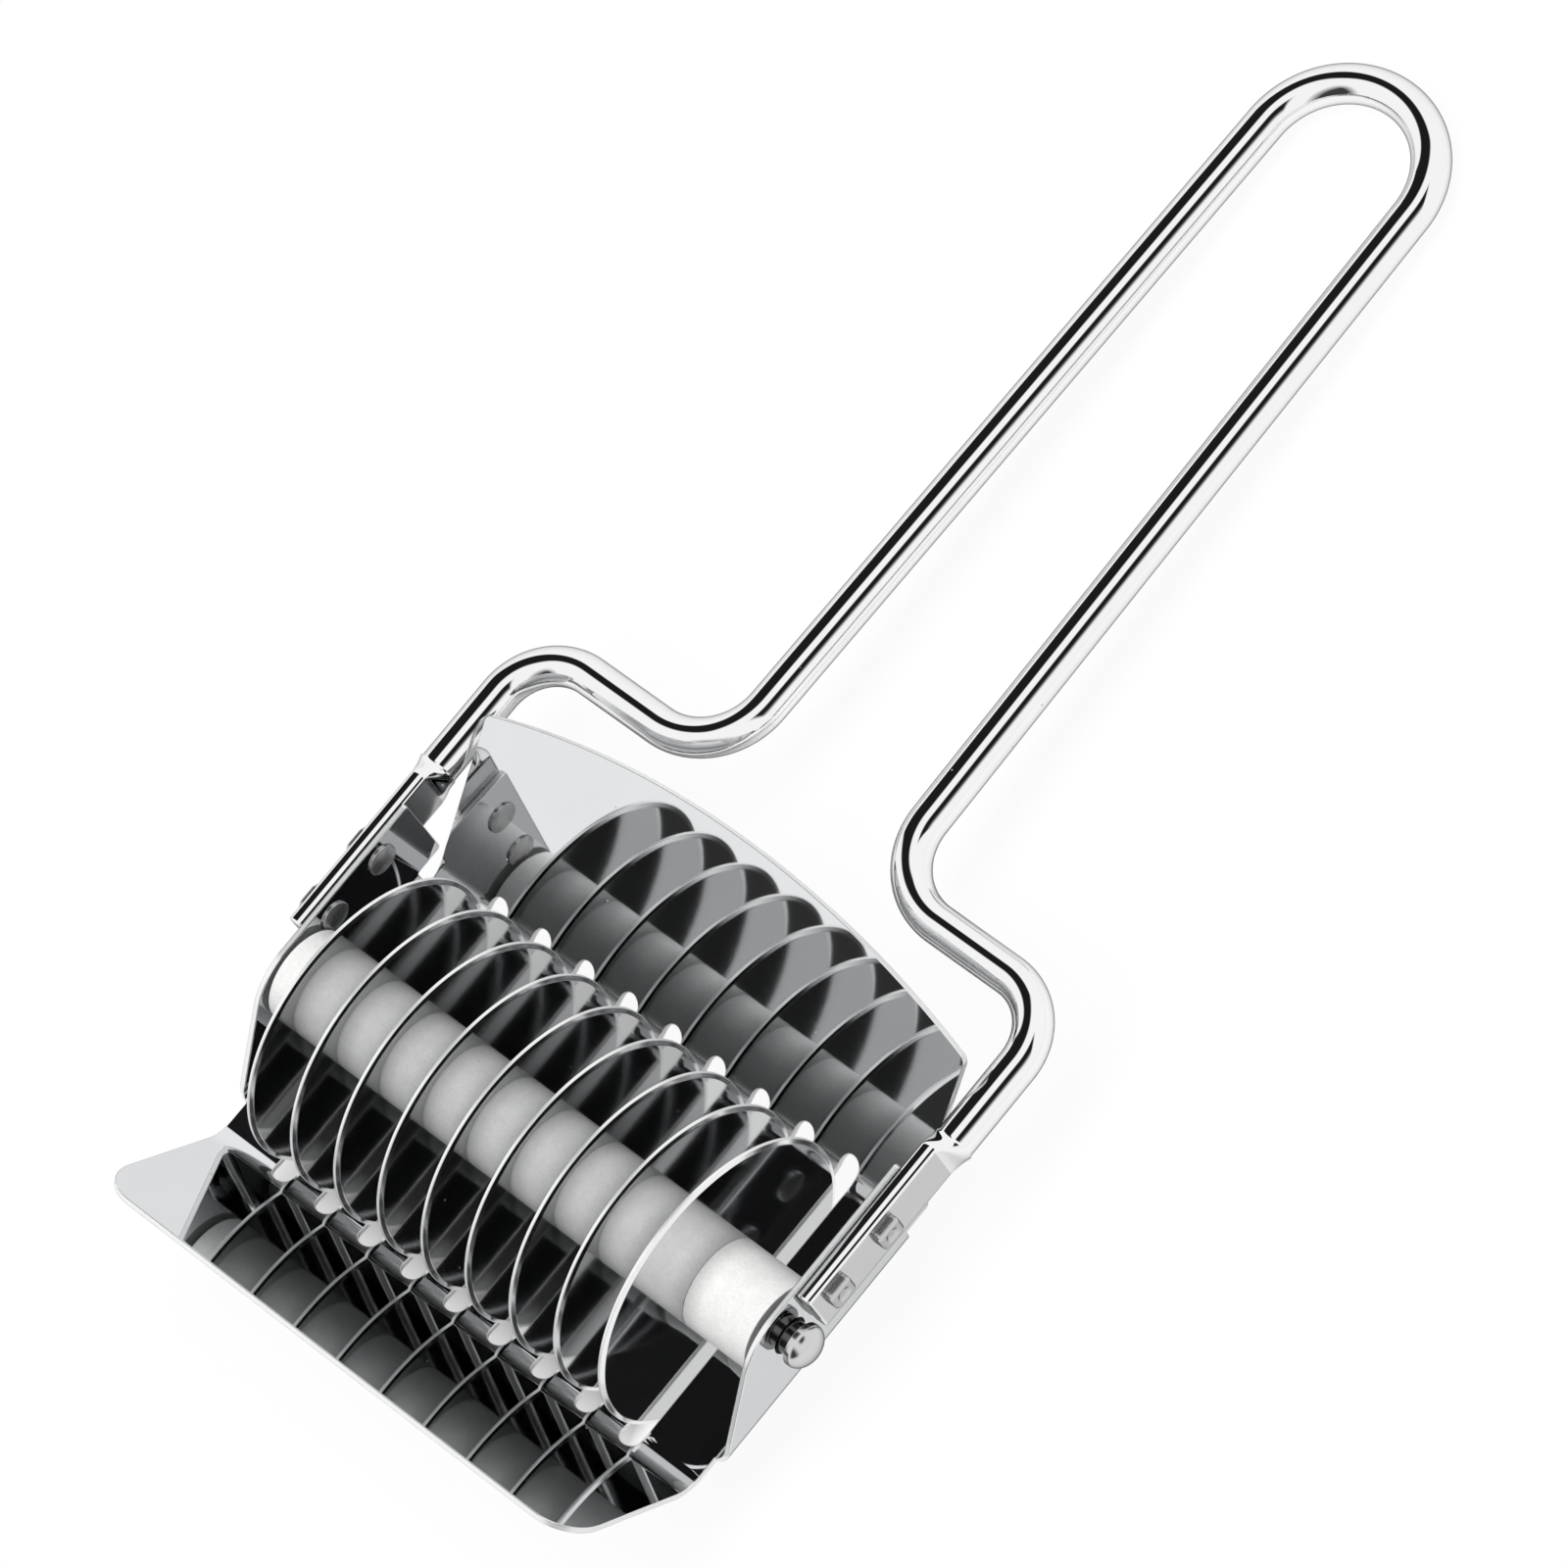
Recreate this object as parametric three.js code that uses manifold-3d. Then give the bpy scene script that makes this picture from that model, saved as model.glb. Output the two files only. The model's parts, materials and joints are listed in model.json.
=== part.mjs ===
// Noodle cutter roller: nine thin steel discs and ten plastic spacers turn on an axle
// between the ears of a folded sheet housing, and a bent wire handle is riveted to the ears.
// Millimetres, +Z up. X runs along the axle and Y from the front guard to the handle's loop.
// The tool stands as on a table: on the rims of its discs and the end of its handle.

import * as THREE from 'three';
import { mergeVertices } from 'three/addons/utils/BufferGeometryUtils.js';
import Module from 'manifold-3d';

const wasm = await Module();
wasm.setup();

// Cutting roller
const DISC_COUNT = 9;
const DISC_RADIUS = 19.6;
const DISC_THICKNESS = 0.8;
const DISC_PITCH = 7.2;
const SPACER_RADIUS = 6.2;
const END_SPACER_LENGTH = 9.9;
const END_PLAY = 0.6;

// Axle, a pin with a domed head outside the right ear and a low formed end outside the left one
const AXLE_RADIUS = 2.2;
const AXLE_RUNNING_GAP = 0.3;
const AXLE_HEAD_RADIUS = 2.9;
const AXLE_HEAD_RIM = 0.6;
const AXLE_HEAD_DOME = 1.9;
const AXLE_HEAD_STANDOFF = 1.5;
const AXLE_END_RADIUS = 2.6;
const AXLE_END_HEIGHT = 0.6;
const AXLE_END_BEVEL = 0.3;
const AXLE_END_STANDOFF = 0.3;

// Folded sheet housing, measured from the axle
const SHEET = 0.8;
const BASE_DEPTH = 8.3;
const BASE_HALF_LENGTH = 18.4;
const GUARD_BEND_RADIUS = 4.5;
const GUARD_SIDE_GAP = 0.8;
const FRONT_GUARD_ANGLE = 49.5;
const FRONT_GUARD_REACH = 19.6;
const FRONT_GUARD_CORNER_RADIUS = 5.5;
const REAR_GUARD_ANGLE = 42.5;
const REAR_GUARD_REACH = 20.8;
const REAR_GUARD_BULGE = 6.9;
const REAR_GUARD_CORNER_RADIUS = 1.2;
const EAR_BEND_RADIUS = 1;
const EAR_TOP = 6;
const EAR_FRONT_FOOT_Y = -15.4;
const EAR_FRONT_SLOPE = 52;
const EAR_SHOULDER_RADIUS = 9;
const EAR_REAR_Y = 22.6;
const SLOT_WIDTH = 2.7;
const SLOT_FRONT_REACH = 21;
const SLOT_REAR_REACH = 22.2;

// Wire handle, with its two ends pressed flat
const WIRE_RADIUS = 2.5;
const WIRE_HEIGHT = 2;
const FLAT_THICKNESS = 2.1;
const FLAT_WIDTH = 7.8;
const FLAT_FRONT_Y = 3.5;
const FLAT_LENGTH = 22.8;
const FLAT_RUNOUT = 2.8;
const ARM_OFFSET = 0.5;
const CROSSBAR_Y = 48.6;
const SHOULDER_BEND_RADIUS = 8.1;
const NECK_BEND_RADIUS = 9.6;
const NECK_HALF_WIDTH = 13.1;
const LOOP_RADIUS = 11.5;
const LOOP_CENTRE_Y = 149.9;

// Handle rivets
const RIVET_RADIUS = 1.3;
const RIVET_HOLE_GAP = 0.3;
const RIVET_HEIGHT = 2.6;
const RIVET_FRONT_Y = 7.3;
const RIVET_SPACING = 8.8;
const RIVET_HEAD_RADIUS = 2.1;
const RIVET_HEAD_HEIGHT = 0.3;
const RIVET_HEAD_RIM = 0.15;
const RIVET_TAIL_WIDTH = 3.6;
const RIVET_TAIL_HEIGHT = 1.2;
const RIVET_TAIL_RIM = 0.5;

// How far a cutting tool runs past what it cuts
const OVERRUN = 3;

// Facets round each kind of curve
const DISC_FACETS = 48;
const SPACER_FACETS = 24;
const AXLE_FACETS = 24;
const RIVET_FACETS = 16;
const RIVET_TAIL_SIDES = 4;
const WIRE_FACETS = 16;
const ARC_FACETS = 8;
const GUARD_EDGE_FACETS = 16;
const SLOT_FACETS = 8;
const LOOP_FACETS = 22;

// Places that follow from the sizes above
const FIRST_DISC_X = -DISC_PITCH * (DISC_COUNT - 1) / 2;
const BORE_RADIUS = AXLE_RADIUS + AXLE_RUNNING_GAP;
const END_SPACER_X = DISC_THICKNESS / 2 - FIRST_DISC_X;
const EAR_INNER_X = END_SPACER_X + END_SPACER_LENGTH + END_PLAY;
const EAR_OUTER_X = EAR_INNER_X + SHEET;
const GUARD_HALF_WIDTH = EAR_INNER_X - GUARD_SIDE_GAP;
const FLAT_X = EAR_OUTER_X + FLAT_THICKNESS / 2;
const FLAT_OUTER_X = EAR_OUTER_X + FLAT_THICKNESS;
const ARM_X = FLAT_X + ARM_OFFSET;
const RIVET_YS = [RIVET_FRONT_Y, RIVET_FRONT_Y + RIVET_SPACING];

const radians = (degrees) => degrees * Math.PI / 180;

// Finishes
function steel(name, colour, roughness) {
  return new THREE.MeshStandardMaterial({ name, color: colour, roughness, metalness: 1 });
}
const finishes = {
  sheet: () => steel('polished_sheet', 0xd4d7db, 0.06),
  disc: () => steel('polished_disc', 0xd0d3d8, 0.07),
  wire: () => steel('polished_wire', 0xd9dbde, 0.08),
  pin: () => steel('steel_pin', 0xcbced2, 0.15),
  spacer: () => new THREE.MeshStandardMaterial({
    name: 'white_plastic', color: 0xf1f1ee, roughness: 0.38, metalness: 0,
  }),
};

// A closed geometry as a solid that can be joined and cut
function solid(geometry) {
  const bare = geometry.clone();
  bare.deleteAttribute('normal');
  bare.deleteAttribute('uv');
  const merged = mergeVertices(bare);
  return new wasm.Manifold(new wasm.Mesh({
    numProp: 3,
    vertProperties: new Float32Array(merged.attributes.position.array),
    triVerts: new Uint32Array(merged.index.array),
  }));
}

// A joined or cut solid back as a geometry
function geometryOf(body) {
  const mesh = body.getMesh();
  const geometry = new THREE.BufferGeometry();
  geometry.setAttribute('position', new THREE.BufferAttribute(new Float32Array(mesh.vertProperties), 3));
  geometry.setIndex(new THREE.BufferAttribute(new Uint32Array(mesh.triVerts), 1));
  geometry.computeVertexNormals();
  return geometry;
}

function makeMesh(name, geometry, finish) {
  const mesh = new THREE.Mesh(geometry, finish());
  mesh.name = name;
  return mesh;
}

// A shape swept a length along its own normal. A shape's arc has two facets to a curve segment.
function prism(shape, depth, arcFacets = ARC_FACETS) {
  return new THREE.ExtrudeGeometry(shape, {
    depth, bevelEnabled: false, curveSegments: arcFacets / 2, steps: 1,
  });
}

// A solid of revolution about the X axis, from [x, radius] pairs that start and end on the axis
// or close on themselves
function turned(profile, facets) {
  const points = profile.map(([x, radius]) => new THREE.Vector2(radius, x));
  const geometry = new THREE.LatheGeometry(points, facets);
  geometry.rotateZ(-Math.PI / 2);
  return geometry;
}

// A tube or washer about the X axis, centred on x = 0, with a facet lying flat underneath
function ring(length, outerRadius, innerRadius, facets) {
  const half = length / 2;
  const geometry = turned([
    [-half, innerRadius], [-half, outerRadius], [half, outerRadius], [half, innerRadius], [-half, innerRadius],
  ], facets);
  geometry.rotateX(Math.PI / facets);
  return geometry;
}

// A shape drawn in (y, z) swept from x = start to x = end
function prismAlongX(shape, start, end) {
  const geometry = prism(shape, end - start);
  geometry.rotateX(Math.PI / 2);
  geometry.rotateZ(Math.PI / 2);
  geometry.translate(start, 0, 0);
  return geometry;
}

// A shape drawn in (x, z) swept from y = start to y = end
function prismAlongY(shape, start, end) {
  const geometry = prism(shape, end - start);
  geometry.rotateX(Math.PI / 2);
  geometry.translate(0, end, 0);
  return geometry;
}

// A round bar along X through (y, z), as a cutting tool
function crossBar(radius, y, z, start, end, facets) {
  const bar = new THREE.CylinderGeometry(radius, radius, end - start, facets);
  bar.rotateZ(Math.PI / 2);
  bar.translate((start + end) / 2, y, z);
  return bar;
}

// Cutting disc, a flat steel washer that runs on the axle
function cuttingDisc() {
  return ring(DISC_THICKNESS, DISC_RADIUS, BORE_RADIUS, DISC_FACETS);
}

// Spacer, a plastic tube that holds two discs apart
function spacer(length) {
  return ring(length, SPACER_RADIUS, BORE_RADIUS, SPACER_FACETS);
}

// Axle, from the low formed end at the left to the domed head at the right
function axle() {
  const endSeat = EAR_OUTER_X + AXLE_END_STANDOFF;
  const endTop = endSeat + AXLE_END_HEIGHT;
  const headSeat = EAR_OUTER_X + AXLE_HEAD_STANDOFF;
  const rim = headSeat + AXLE_HEAD_RIM;
  const profile = [
    [-endTop, 0],
    [-endTop, AXLE_END_RADIUS - AXLE_END_BEVEL],
    [AXLE_END_BEVEL - endTop, AXLE_END_RADIUS],
    [-endSeat, AXLE_END_RADIUS],
    [-endSeat, AXLE_RADIUS],
    [headSeat, AXLE_RADIUS],
    [headSeat, AXLE_HEAD_RADIUS],
  ];
  const domeSteps = 5;
  for (let step = 0; step < domeSteps; step++) {
    const turn = Math.PI / 2 * step / domeSteps;
    profile.push([rim + AXLE_HEAD_DOME * Math.sin(turn), AXLE_HEAD_RADIUS * Math.cos(turn)]);
  }
  profile.push([rim + AXLE_HEAD_DOME, 0]);
  return turned(profile, AXLE_FACETS);
}

// Rivet for the right ear, with a low round head inside the ear
function rivet() {
  const headTop = EAR_INNER_X - RIVET_HEAD_HEIGHT;
  const pin = turned([
    [headTop, 0],
    [headTop, RIVET_HEAD_RADIUS - RIVET_HEAD_RIM],
    [headTop + RIVET_HEAD_RIM, RIVET_HEAD_RADIUS],
    [EAR_INNER_X, RIVET_HEAD_RADIUS],
    [EAR_INNER_X, RIVET_RADIUS],
    [FLAT_OUTER_X + RIVET_TAIL_RIM, RIVET_RADIUS],
    [FLAT_OUTER_X + RIVET_TAIL_RIM, 0],
  ], RIVET_FACETS);
  return geometryOf(solid(pin).add(solid(rivetTail())));
}

// The rivet's tail outside the wire, squeezed square, with its upper edges sloped
function rivetTail() {
  const tailTop = FLAT_OUTER_X + RIVET_TAIL_HEIGHT;
  const halfTurn = Math.PI / RIVET_TAIL_SIDES;
  const corner = (halfWidth) => halfWidth / Math.cos(halfTurn);
  const tail = turned([
    [FLAT_OUTER_X, 0],
    [FLAT_OUTER_X, corner(RIVET_TAIL_WIDTH / 2)],
    [tailTop - RIVET_TAIL_RIM, corner(RIVET_TAIL_WIDTH / 2)],
    [tailTop, corner(RIVET_TAIL_WIDTH / 2 - RIVET_TAIL_RIM)],
    [tailTop, 0],
  ], RIVET_TAIL_SIDES);
  tail.rotateX(halfTurn);
  return tail;
}

// Base plate and both guards, one strip of sheet seen along the axle and swept across its width
function guardStrip() {
  const inner = GUARD_BEND_RADIUS;
  const outer = inner + SHEET;
  const centreZ = inner - BASE_DEPTH;
  const down = -Math.PI / 2;
  const front = radians(FRONT_GUARD_ANGLE);
  const rear = radians(REAR_GUARD_ANGLE);
  const tip = (side, angle, radius, length) => [
    side * (BASE_HALF_LENGTH + radius * Math.sin(angle) + length * Math.cos(angle)),
    centreZ - radius * Math.cos(angle) + length * Math.sin(angle),
  ];
  const frontLength = FRONT_GUARD_REACH + OVERRUN;
  const rearLength = REAR_GUARD_REACH + REAR_GUARD_BULGE + OVERRUN;
  const shape = new THREE.Shape();
  shape.moveTo(...tip(-1, front, inner, frontLength));
  shape.absarc(-BASE_HALF_LENGTH, centreZ, inner, down - front, down, false);
  shape.absarc(BASE_HALF_LENGTH, centreZ, inner, down, down + rear, false);
  shape.lineTo(...tip(1, rear, inner, rearLength));
  shape.lineTo(...tip(1, rear, outer, rearLength));
  shape.absarc(BASE_HALF_LENGTH, centreZ, outer, down + rear, down, true);
  shape.absarc(-BASE_HALF_LENGTH, centreZ, outer, down, down - front, true);
  shape.lineTo(...tip(-1, front, outer, frontLength));
  return prismAlongX(shape, -GUARD_HALF_WIDTH, GUARD_HALF_WIDTH);
}

// Right ear and its bend up from the base, seen along Y, before its outline is cut
function earBlank() {
  const bendX = EAR_INNER_X - EAR_BEND_RADIUS;
  const bendZ = EAR_BEND_RADIUS - BASE_DEPTH;
  const footX = GUARD_HALF_WIDTH - EAR_BEND_RADIUS;
  const down = -Math.PI / 2;
  const shape = new THREE.Shape();
  shape.moveTo(footX, -BASE_DEPTH);
  shape.absarc(bendX, bendZ, EAR_BEND_RADIUS, down, 0, false);
  shape.lineTo(EAR_INNER_X, EAR_TOP + OVERRUN);
  shape.lineTo(EAR_OUTER_X, EAR_TOP + OVERRUN);
  shape.absarc(bendX, bendZ, EAR_BEND_RADIUS + SHEET, 0, down, true);
  shape.lineTo(footX, -BASE_DEPTH - SHEET);
  return prismAlongY(shape, EAR_FRONT_FOOT_Y - OVERRUN, EAR_REAR_Y);
}

// Cutter that gives the ear its top, its rounded shoulder and the slope down to its front foot
function earTrim() {
  const slope = radians(EAR_FRONT_SLOPE);
  const run = (rise) => EAR_FRONT_FOOT_Y + rise / Math.tan(slope);
  const shoulderY = run(EAR_TOP + BASE_DEPTH) + EAR_SHOULDER_RADIUS * Math.tan(slope / 2);
  const shoulderZ = EAR_TOP - EAR_SHOULDER_RADIUS;
  const below = SHEET + OVERRUN;
  const front = run(-below) - OVERRUN;
  const up = Math.PI / 2;
  const shape = new THREE.Shape();
  shape.moveTo(front, -BASE_DEPTH - below);
  shape.lineTo(run(-below), -BASE_DEPTH - below);
  shape.absarc(shoulderY, shoulderZ, EAR_SHOULDER_RADIUS, up + slope, up, true);
  shape.lineTo(EAR_REAR_Y + OVERRUN, EAR_TOP);
  shape.lineTo(EAR_REAR_Y + OVERRUN, EAR_TOP + OVERRUN * 2);
  shape.lineTo(front, EAR_TOP + OVERRUN * 2);
  return prismAlongX(shape, EAR_INNER_X - EAR_BEND_RADIUS - OVERRUN, EAR_OUTER_X + OVERRUN);
}

// Cutter for the relief where the ear's rear end stands clear of the rear bend
function earRelief() {
  const start = EAR_INNER_X - EAR_BEND_RADIUS - OVERRUN;
  const width = EAR_OUTER_X + OVERRUN - start;
  const length = EAR_REAR_Y + OVERRUN - BASE_HALF_LENGTH;
  const height = EAR_BEND_RADIUS + SHEET * 2 + OVERRUN;
  const relief = new THREE.BoxGeometry(width, length, height);
  relief.translate(start + width / 2, BASE_HALF_LENGTH + length / 2, height / 2);
  relief.translate(0, 0, -BASE_DEPTH - SHEET - OVERRUN);
  return relief;
}

// Front guard's edge as (x, distance up the guard): straight between two rounded corners
function frontGuardEdge() {
  const cornerX = GUARD_HALF_WIDTH - FRONT_GUARD_CORNER_RADIUS;
  const cornerS = FRONT_GUARD_REACH - FRONT_GUARD_CORNER_RADIUS;
  const shape = new THREE.Shape();
  shape.absarc(cornerX, cornerS, FRONT_GUARD_CORNER_RADIUS, 0, Math.PI / 2, false);
  shape.absarc(-cornerX, cornerS, FRONT_GUARD_CORNER_RADIUS, Math.PI / 2, Math.PI, false);
  return shape;
}

// Rear guard's edge as (x, distance up the guard): one bulging arc between two small corners
function rearGuardEdge() {
  const bulge = REAR_GUARD_BULGE;
  const arcRadius = (GUARD_HALF_WIDTH ** 2 + bulge ** 2) / (bulge * 2);
  const arcCentre = REAR_GUARD_REACH + bulge - arcRadius;
  // A corner's centre lies its radius inside both the side and the arc
  const cornerX = GUARD_HALF_WIDTH - REAR_GUARD_CORNER_RADIUS;
  const cornerRise = Math.sqrt((arcRadius - REAR_GUARD_CORNER_RADIUS) ** 2 - cornerX ** 2);
  const lean = Math.atan2(cornerRise, cornerX);
  const shape = new THREE.Shape();
  shape.absarc(cornerX, arcCentre + cornerRise, REAR_GUARD_CORNER_RADIUS, 0, lean, false);
  shape.absarc(0, arcCentre, arcRadius, lean, Math.PI - lean, false);
  shape.absarc(-cornerX, arcCentre + cornerRise, REAR_GUARD_CORNER_RADIUS, Math.PI - lean, Math.PI, false);
  return shape;
}

// Cutter for all of a guard that lies past its edge, tilted into the guard's plane
function guardTrim(edge, reach, angle) {
  const turn = radians(angle);
  const side = edge.currentPoint.y;
  const wide = GUARD_HALF_WIDTH + OVERRUN;
  const far = reach + OVERRUN * 2;
  edge.lineTo(-wide, side);
  edge.lineTo(-wide, far);
  edge.lineTo(wide, far);
  edge.lineTo(wide, side);
  const cutter = prism(edge, SHEET + OVERRUN * 2, GUARD_EDGE_FACETS);
  cutter.translate(0, 0, -SHEET - OVERRUN);
  cutter.rotateX(turn);
  cutter.translate(
    0,
    BASE_HALF_LENGTH + GUARD_BEND_RADIUS * Math.sin(turn),
    GUARD_BEND_RADIUS * (1 - Math.cos(turn)) - BASE_DEPTH,
  );
  return cutter;
}

// Slot for one disc, cut straight down through the base and into both bends
function discSlot(x) {
  const radius = SLOT_WIDTH / 2;
  const shape = new THREE.Shape();
  shape.absarc(x, SLOT_REAR_REACH - radius, radius, 0, Math.PI, false);
  shape.absarc(x, radius - SLOT_FRONT_REACH, radius, Math.PI, Math.PI * 2, false);
  const cutter = prism(shape, SHEET + GUARD_BEND_RADIUS + OVERRUN * 2, SLOT_FACETS);
  cutter.translate(0, 0, -BASE_DEPTH - SHEET - OVERRUN);
  return cutter;
}

// Cutter for the holes that a handle's two rivets pass through, right across the tool
function rivetHoles(end) {
  const [front, rear] = RIVET_YS.map((y) => (
    solid(crossBar(RIVET_RADIUS + RIVET_HOLE_GAP, y, RIVET_HEIGHT, -end, end, RIVET_FACETS))
  ));
  return front.add(rear);
}

// Housing, one sheet folded into a base, two guards and two ears
function housing() {
  const end = EAR_OUTER_X + OVERRUN;
  const rearReach = REAR_GUARD_REACH + REAR_GUARD_BULGE;
  const rearTrim = guardTrim(rearGuardEdge(), rearReach, REAR_GUARD_ANGLE);
  const frontTrim = guardTrim(frontGuardEdge(), FRONT_GUARD_REACH, FRONT_GUARD_ANGLE);
  const rightEar = solid(earBlank()).subtract(solid(earTrim())).subtract(solid(earRelief()));
  let body = solid(guardStrip())
    .subtract(solid(rearTrim))
    .subtract(solid(frontTrim.rotateZ(Math.PI)))
    .add(rightEar)
    .add(rightEar.mirror([1, 0, 0]));
  for (let index = 0; index < DISC_COUNT; index++) {
    body = body.subtract(solid(discSlot(FIRST_DISC_X + DISC_PITCH * index)));
  }
  body = body.subtract(solid(crossBar(BORE_RADIUS, 0, 0, -end, end, AXLE_FACETS)));
  return geometryOf(body.subtract(rivetHoles(end)));
}

// The wire's centre line as [x, y, heading] stations from the right end to the middle of its loop
function wireStations() {
  const stations = [];
  const add = (x, y, heading) => stations.push({ x, y, heading });
  const bend = (cx, cy, radius, from, to, facets, turnSign) => {
    for (let step = 0; step <= facets; step++) {
      const at = from + (to - from) * step / facets;
      add(cx + radius * Math.cos(at), cy + radius * Math.sin(at), at + turnSign * Math.PI / 2);
    }
  };
  const flatEnd = FLAT_FRONT_Y + FLAT_LENGTH;
  const runoutShares = [0, 0.2, 0.4, 0.6, 0.8, 1];
  add(FLAT_X, FLAT_FRONT_Y, Math.PI / 2);
  for (const share of runoutShares) {
    const offset = ARM_OFFSET * THREE.MathUtils.smoothstep(share, 0, 1);
    add(FLAT_X + offset, flatEnd + FLAT_RUNOUT * share, Math.PI / 2);
  }
  const shoulder = SHOULDER_BEND_RADIUS;
  bend(ARM_X - shoulder, CROSSBAR_Y - shoulder, shoulder, 0, Math.PI / 2, ARC_FACETS, 1);
  // The neck leans in towards the loop, so its bend turns by a little more than a right angle
  const neckStartX = NECK_HALF_WIDTH + NECK_BEND_RADIUS;
  const neckY = CROSSBAR_Y + NECK_BEND_RADIUS;
  const lean = neckLean(neckStartX, neckY);
  bend(neckStartX, neckY, NECK_BEND_RADIUS, -Math.PI / 2, -Math.PI + lean, ARC_FACETS, -1);
  bend(0, LOOP_CENTRE_Y, LOOP_RADIUS, lean, Math.PI / 2, LOOP_FACETS / 2, 1);
  return stations;
}

// Angle between the handle's rod and the Y axis: the rod touches the neck bend on its inner side
// and the loop on its outer side
function neckLean(bendX, bendY) {
  const along = LOOP_CENTRE_Y - bendY;
  const reach = Math.hypot(bendX, along);
  return Math.atan2(bendX, along) - Math.asin((NECK_BEND_RADIUS + LOOP_RADIUS) / reach);
}

// The wire's centre line, whose parameter steps from one station to the next
class WireLine extends THREE.Curve {
  constructor() {
    super();
    const half = wireStations();
    const mirrored = half.slice(0, -1).reverse().map(({ x, y, heading }) => ({ x: -x, y, heading: -heading }));
    this.stations = [...half, ...mirrored];
  }

  getPoint(t) {
    const { x, y } = this.stations[Math.round(t * (this.stations.length - 1))];
    return new THREE.Vector3(x, y, WIRE_HEIGHT);
  }

  getTangent(t) {
    const { heading } = this.stations[Math.round(t * (this.stations.length - 1))];
    return new THREE.Vector3(Math.cos(heading), Math.sin(heading), 0);
  }

  getPointAt(u) {
    return this.getPoint(u);
  }

  getTangentAt(u) {
    return this.getTangent(u);
  }
}

// Presses the wire's two ends flat: thinner across the ear, wider up and down
function pressEnds(geometry) {
  const position = geometry.attributes.position;
  const flatEnd = FLAT_FRONT_Y + FLAT_LENGTH;
  for (let index = 0; index < position.count; index++) {
    const x = position.getX(index);
    const y = position.getY(index);
    const z = position.getZ(index);
    const round = THREE.MathUtils.smoothstep(y, flatEnd, flatEnd + FLAT_RUNOUT);
    const pressed = 1 - round;
    if (pressed > 0) {
      const centreX = Math.sign(x) * (FLAT_X + ARM_OFFSET * round);
      const halfThickness = THREE.MathUtils.lerp(WIRE_RADIUS, FLAT_THICKNESS / 2, pressed);
      const widening = THREE.MathUtils.lerp(1, FLAT_WIDTH / (WIRE_RADIUS * 2), pressed);
      const offset = THREE.MathUtils.clamp(x - centreX, -halfThickness, halfThickness);
      position.setXYZ(index, centreX + offset, y, WIRE_HEIGHT + (z - WIRE_HEIGHT) * widening);
    }
  }
}

// Handle, one length of round wire bent to a loop, with holes for its rivets
function handleWire() {
  const section = new THREE.Shape();
  for (let facet = 0; facet < WIRE_FACETS; facet++) {
    const at = Math.PI * 2 * facet / WIRE_FACETS;
    const corner = [WIRE_RADIUS * Math.cos(at), WIRE_RADIUS * Math.sin(at)];
    if (facet === 0) {
      section.moveTo(...corner);
    } else {
      section.lineTo(...corner);
    }
  }
  const line = new WireLine();
  const wire = new THREE.ExtrudeGeometry(section, {
    steps: line.stations.length - 1, extrudePath: line, bevelEnabled: false,
  });
  pressEnds(wire);
  return geometryOf(solid(wire).subtract(rivetHoles(FLAT_OUTER_X + OVERRUN)));
}

// Roller: discs and spacers threaded on the axle, standing level whatever the handle's tilt
const roller = new THREE.Group();
for (let index = 0; index < DISC_COUNT; index++) {
  const disc = makeMesh(`disc_${index + 1}`, cuttingDisc(), finishes.disc);
  disc.position.x = FIRST_DISC_X + DISC_PITCH * index;
  roller.add(disc);
}
for (let index = 0; index < DISC_COUNT - 1; index++) {
  const tube = makeMesh(`spacer_${index + 1}`, spacer(DISC_PITCH - DISC_THICKNESS), finishes.spacer);
  tube.position.x = FIRST_DISC_X + DISC_PITCH * (index + 0.5);
  roller.add(tube);
}
for (const [name, side] of [['end_spacer_left', -1], ['end_spacer_right', 1]]) {
  const tube = makeMesh(name, spacer(END_SPACER_LENGTH), finishes.spacer);
  tube.position.x = side * (END_SPACER_X + END_SPACER_LENGTH / 2);
  roller.add(tube);
}

// Frame: everything that the roller turns in
const frame = new THREE.Group();
frame.add(makeMesh('housing', housing(), finishes.sheet));
frame.add(makeMesh('axle', axle(), finishes.pin));
frame.add(makeMesh('handle_wire', handleWire(), finishes.wire));
for (const [sideName, side] of [['left', -1], ['right', 1]]) {
  RIVET_YS.forEach((y, index) => {
    const pin = makeMesh(`rivet_${sideName}_${index === 0 ? 'front' : 'rear'}`, rivet(), finishes.pin);
    pin.position.set(0, y, RIVET_HEIGHT);
    pin.rotation.z = side > 0 ? 0 : Math.PI;
    frame.add(pin);
  });
}

// The handle drops until the end of its loop meets the table that the discs stand on
const standHeight = DISC_RADIUS * Math.cos(Math.PI / DISC_FACETS);
const loopEndY = LOOP_CENTRE_Y + LOOP_RADIUS;
const loopReach = Math.hypot(loopEndY, WIRE_HEIGHT);
const tilt = Math.atan2(WIRE_HEIGHT, loopEndY) + Math.asin((standHeight - WIRE_RADIUS) / loopReach);
frame.rotation.x = -tilt;

const tool = new THREE.Group();
tool.add(frame, roller);
tool.updateMatrixWorld(true);

// The origin is the middle of the box's underside
const box = new THREE.Box3().setFromObject(tool, true);
tool.position.set(-(box.min.x + box.max.x) / 2, -(box.min.y + box.max.y) / 2, -box.min.z);

const noodleCutter = new THREE.Group();
noodleCutter.add(tool);

export default noodleCutter;
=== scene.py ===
"""Looks of the noodle cutter roller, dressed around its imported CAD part, from the sheet housing
up to the rivets that hold the handle, and then the studio that it stands in. The tool's sizes are
in millimetres, with places measured from the middle of the axle. The studio's are in metres."""

import json
import math

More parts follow.
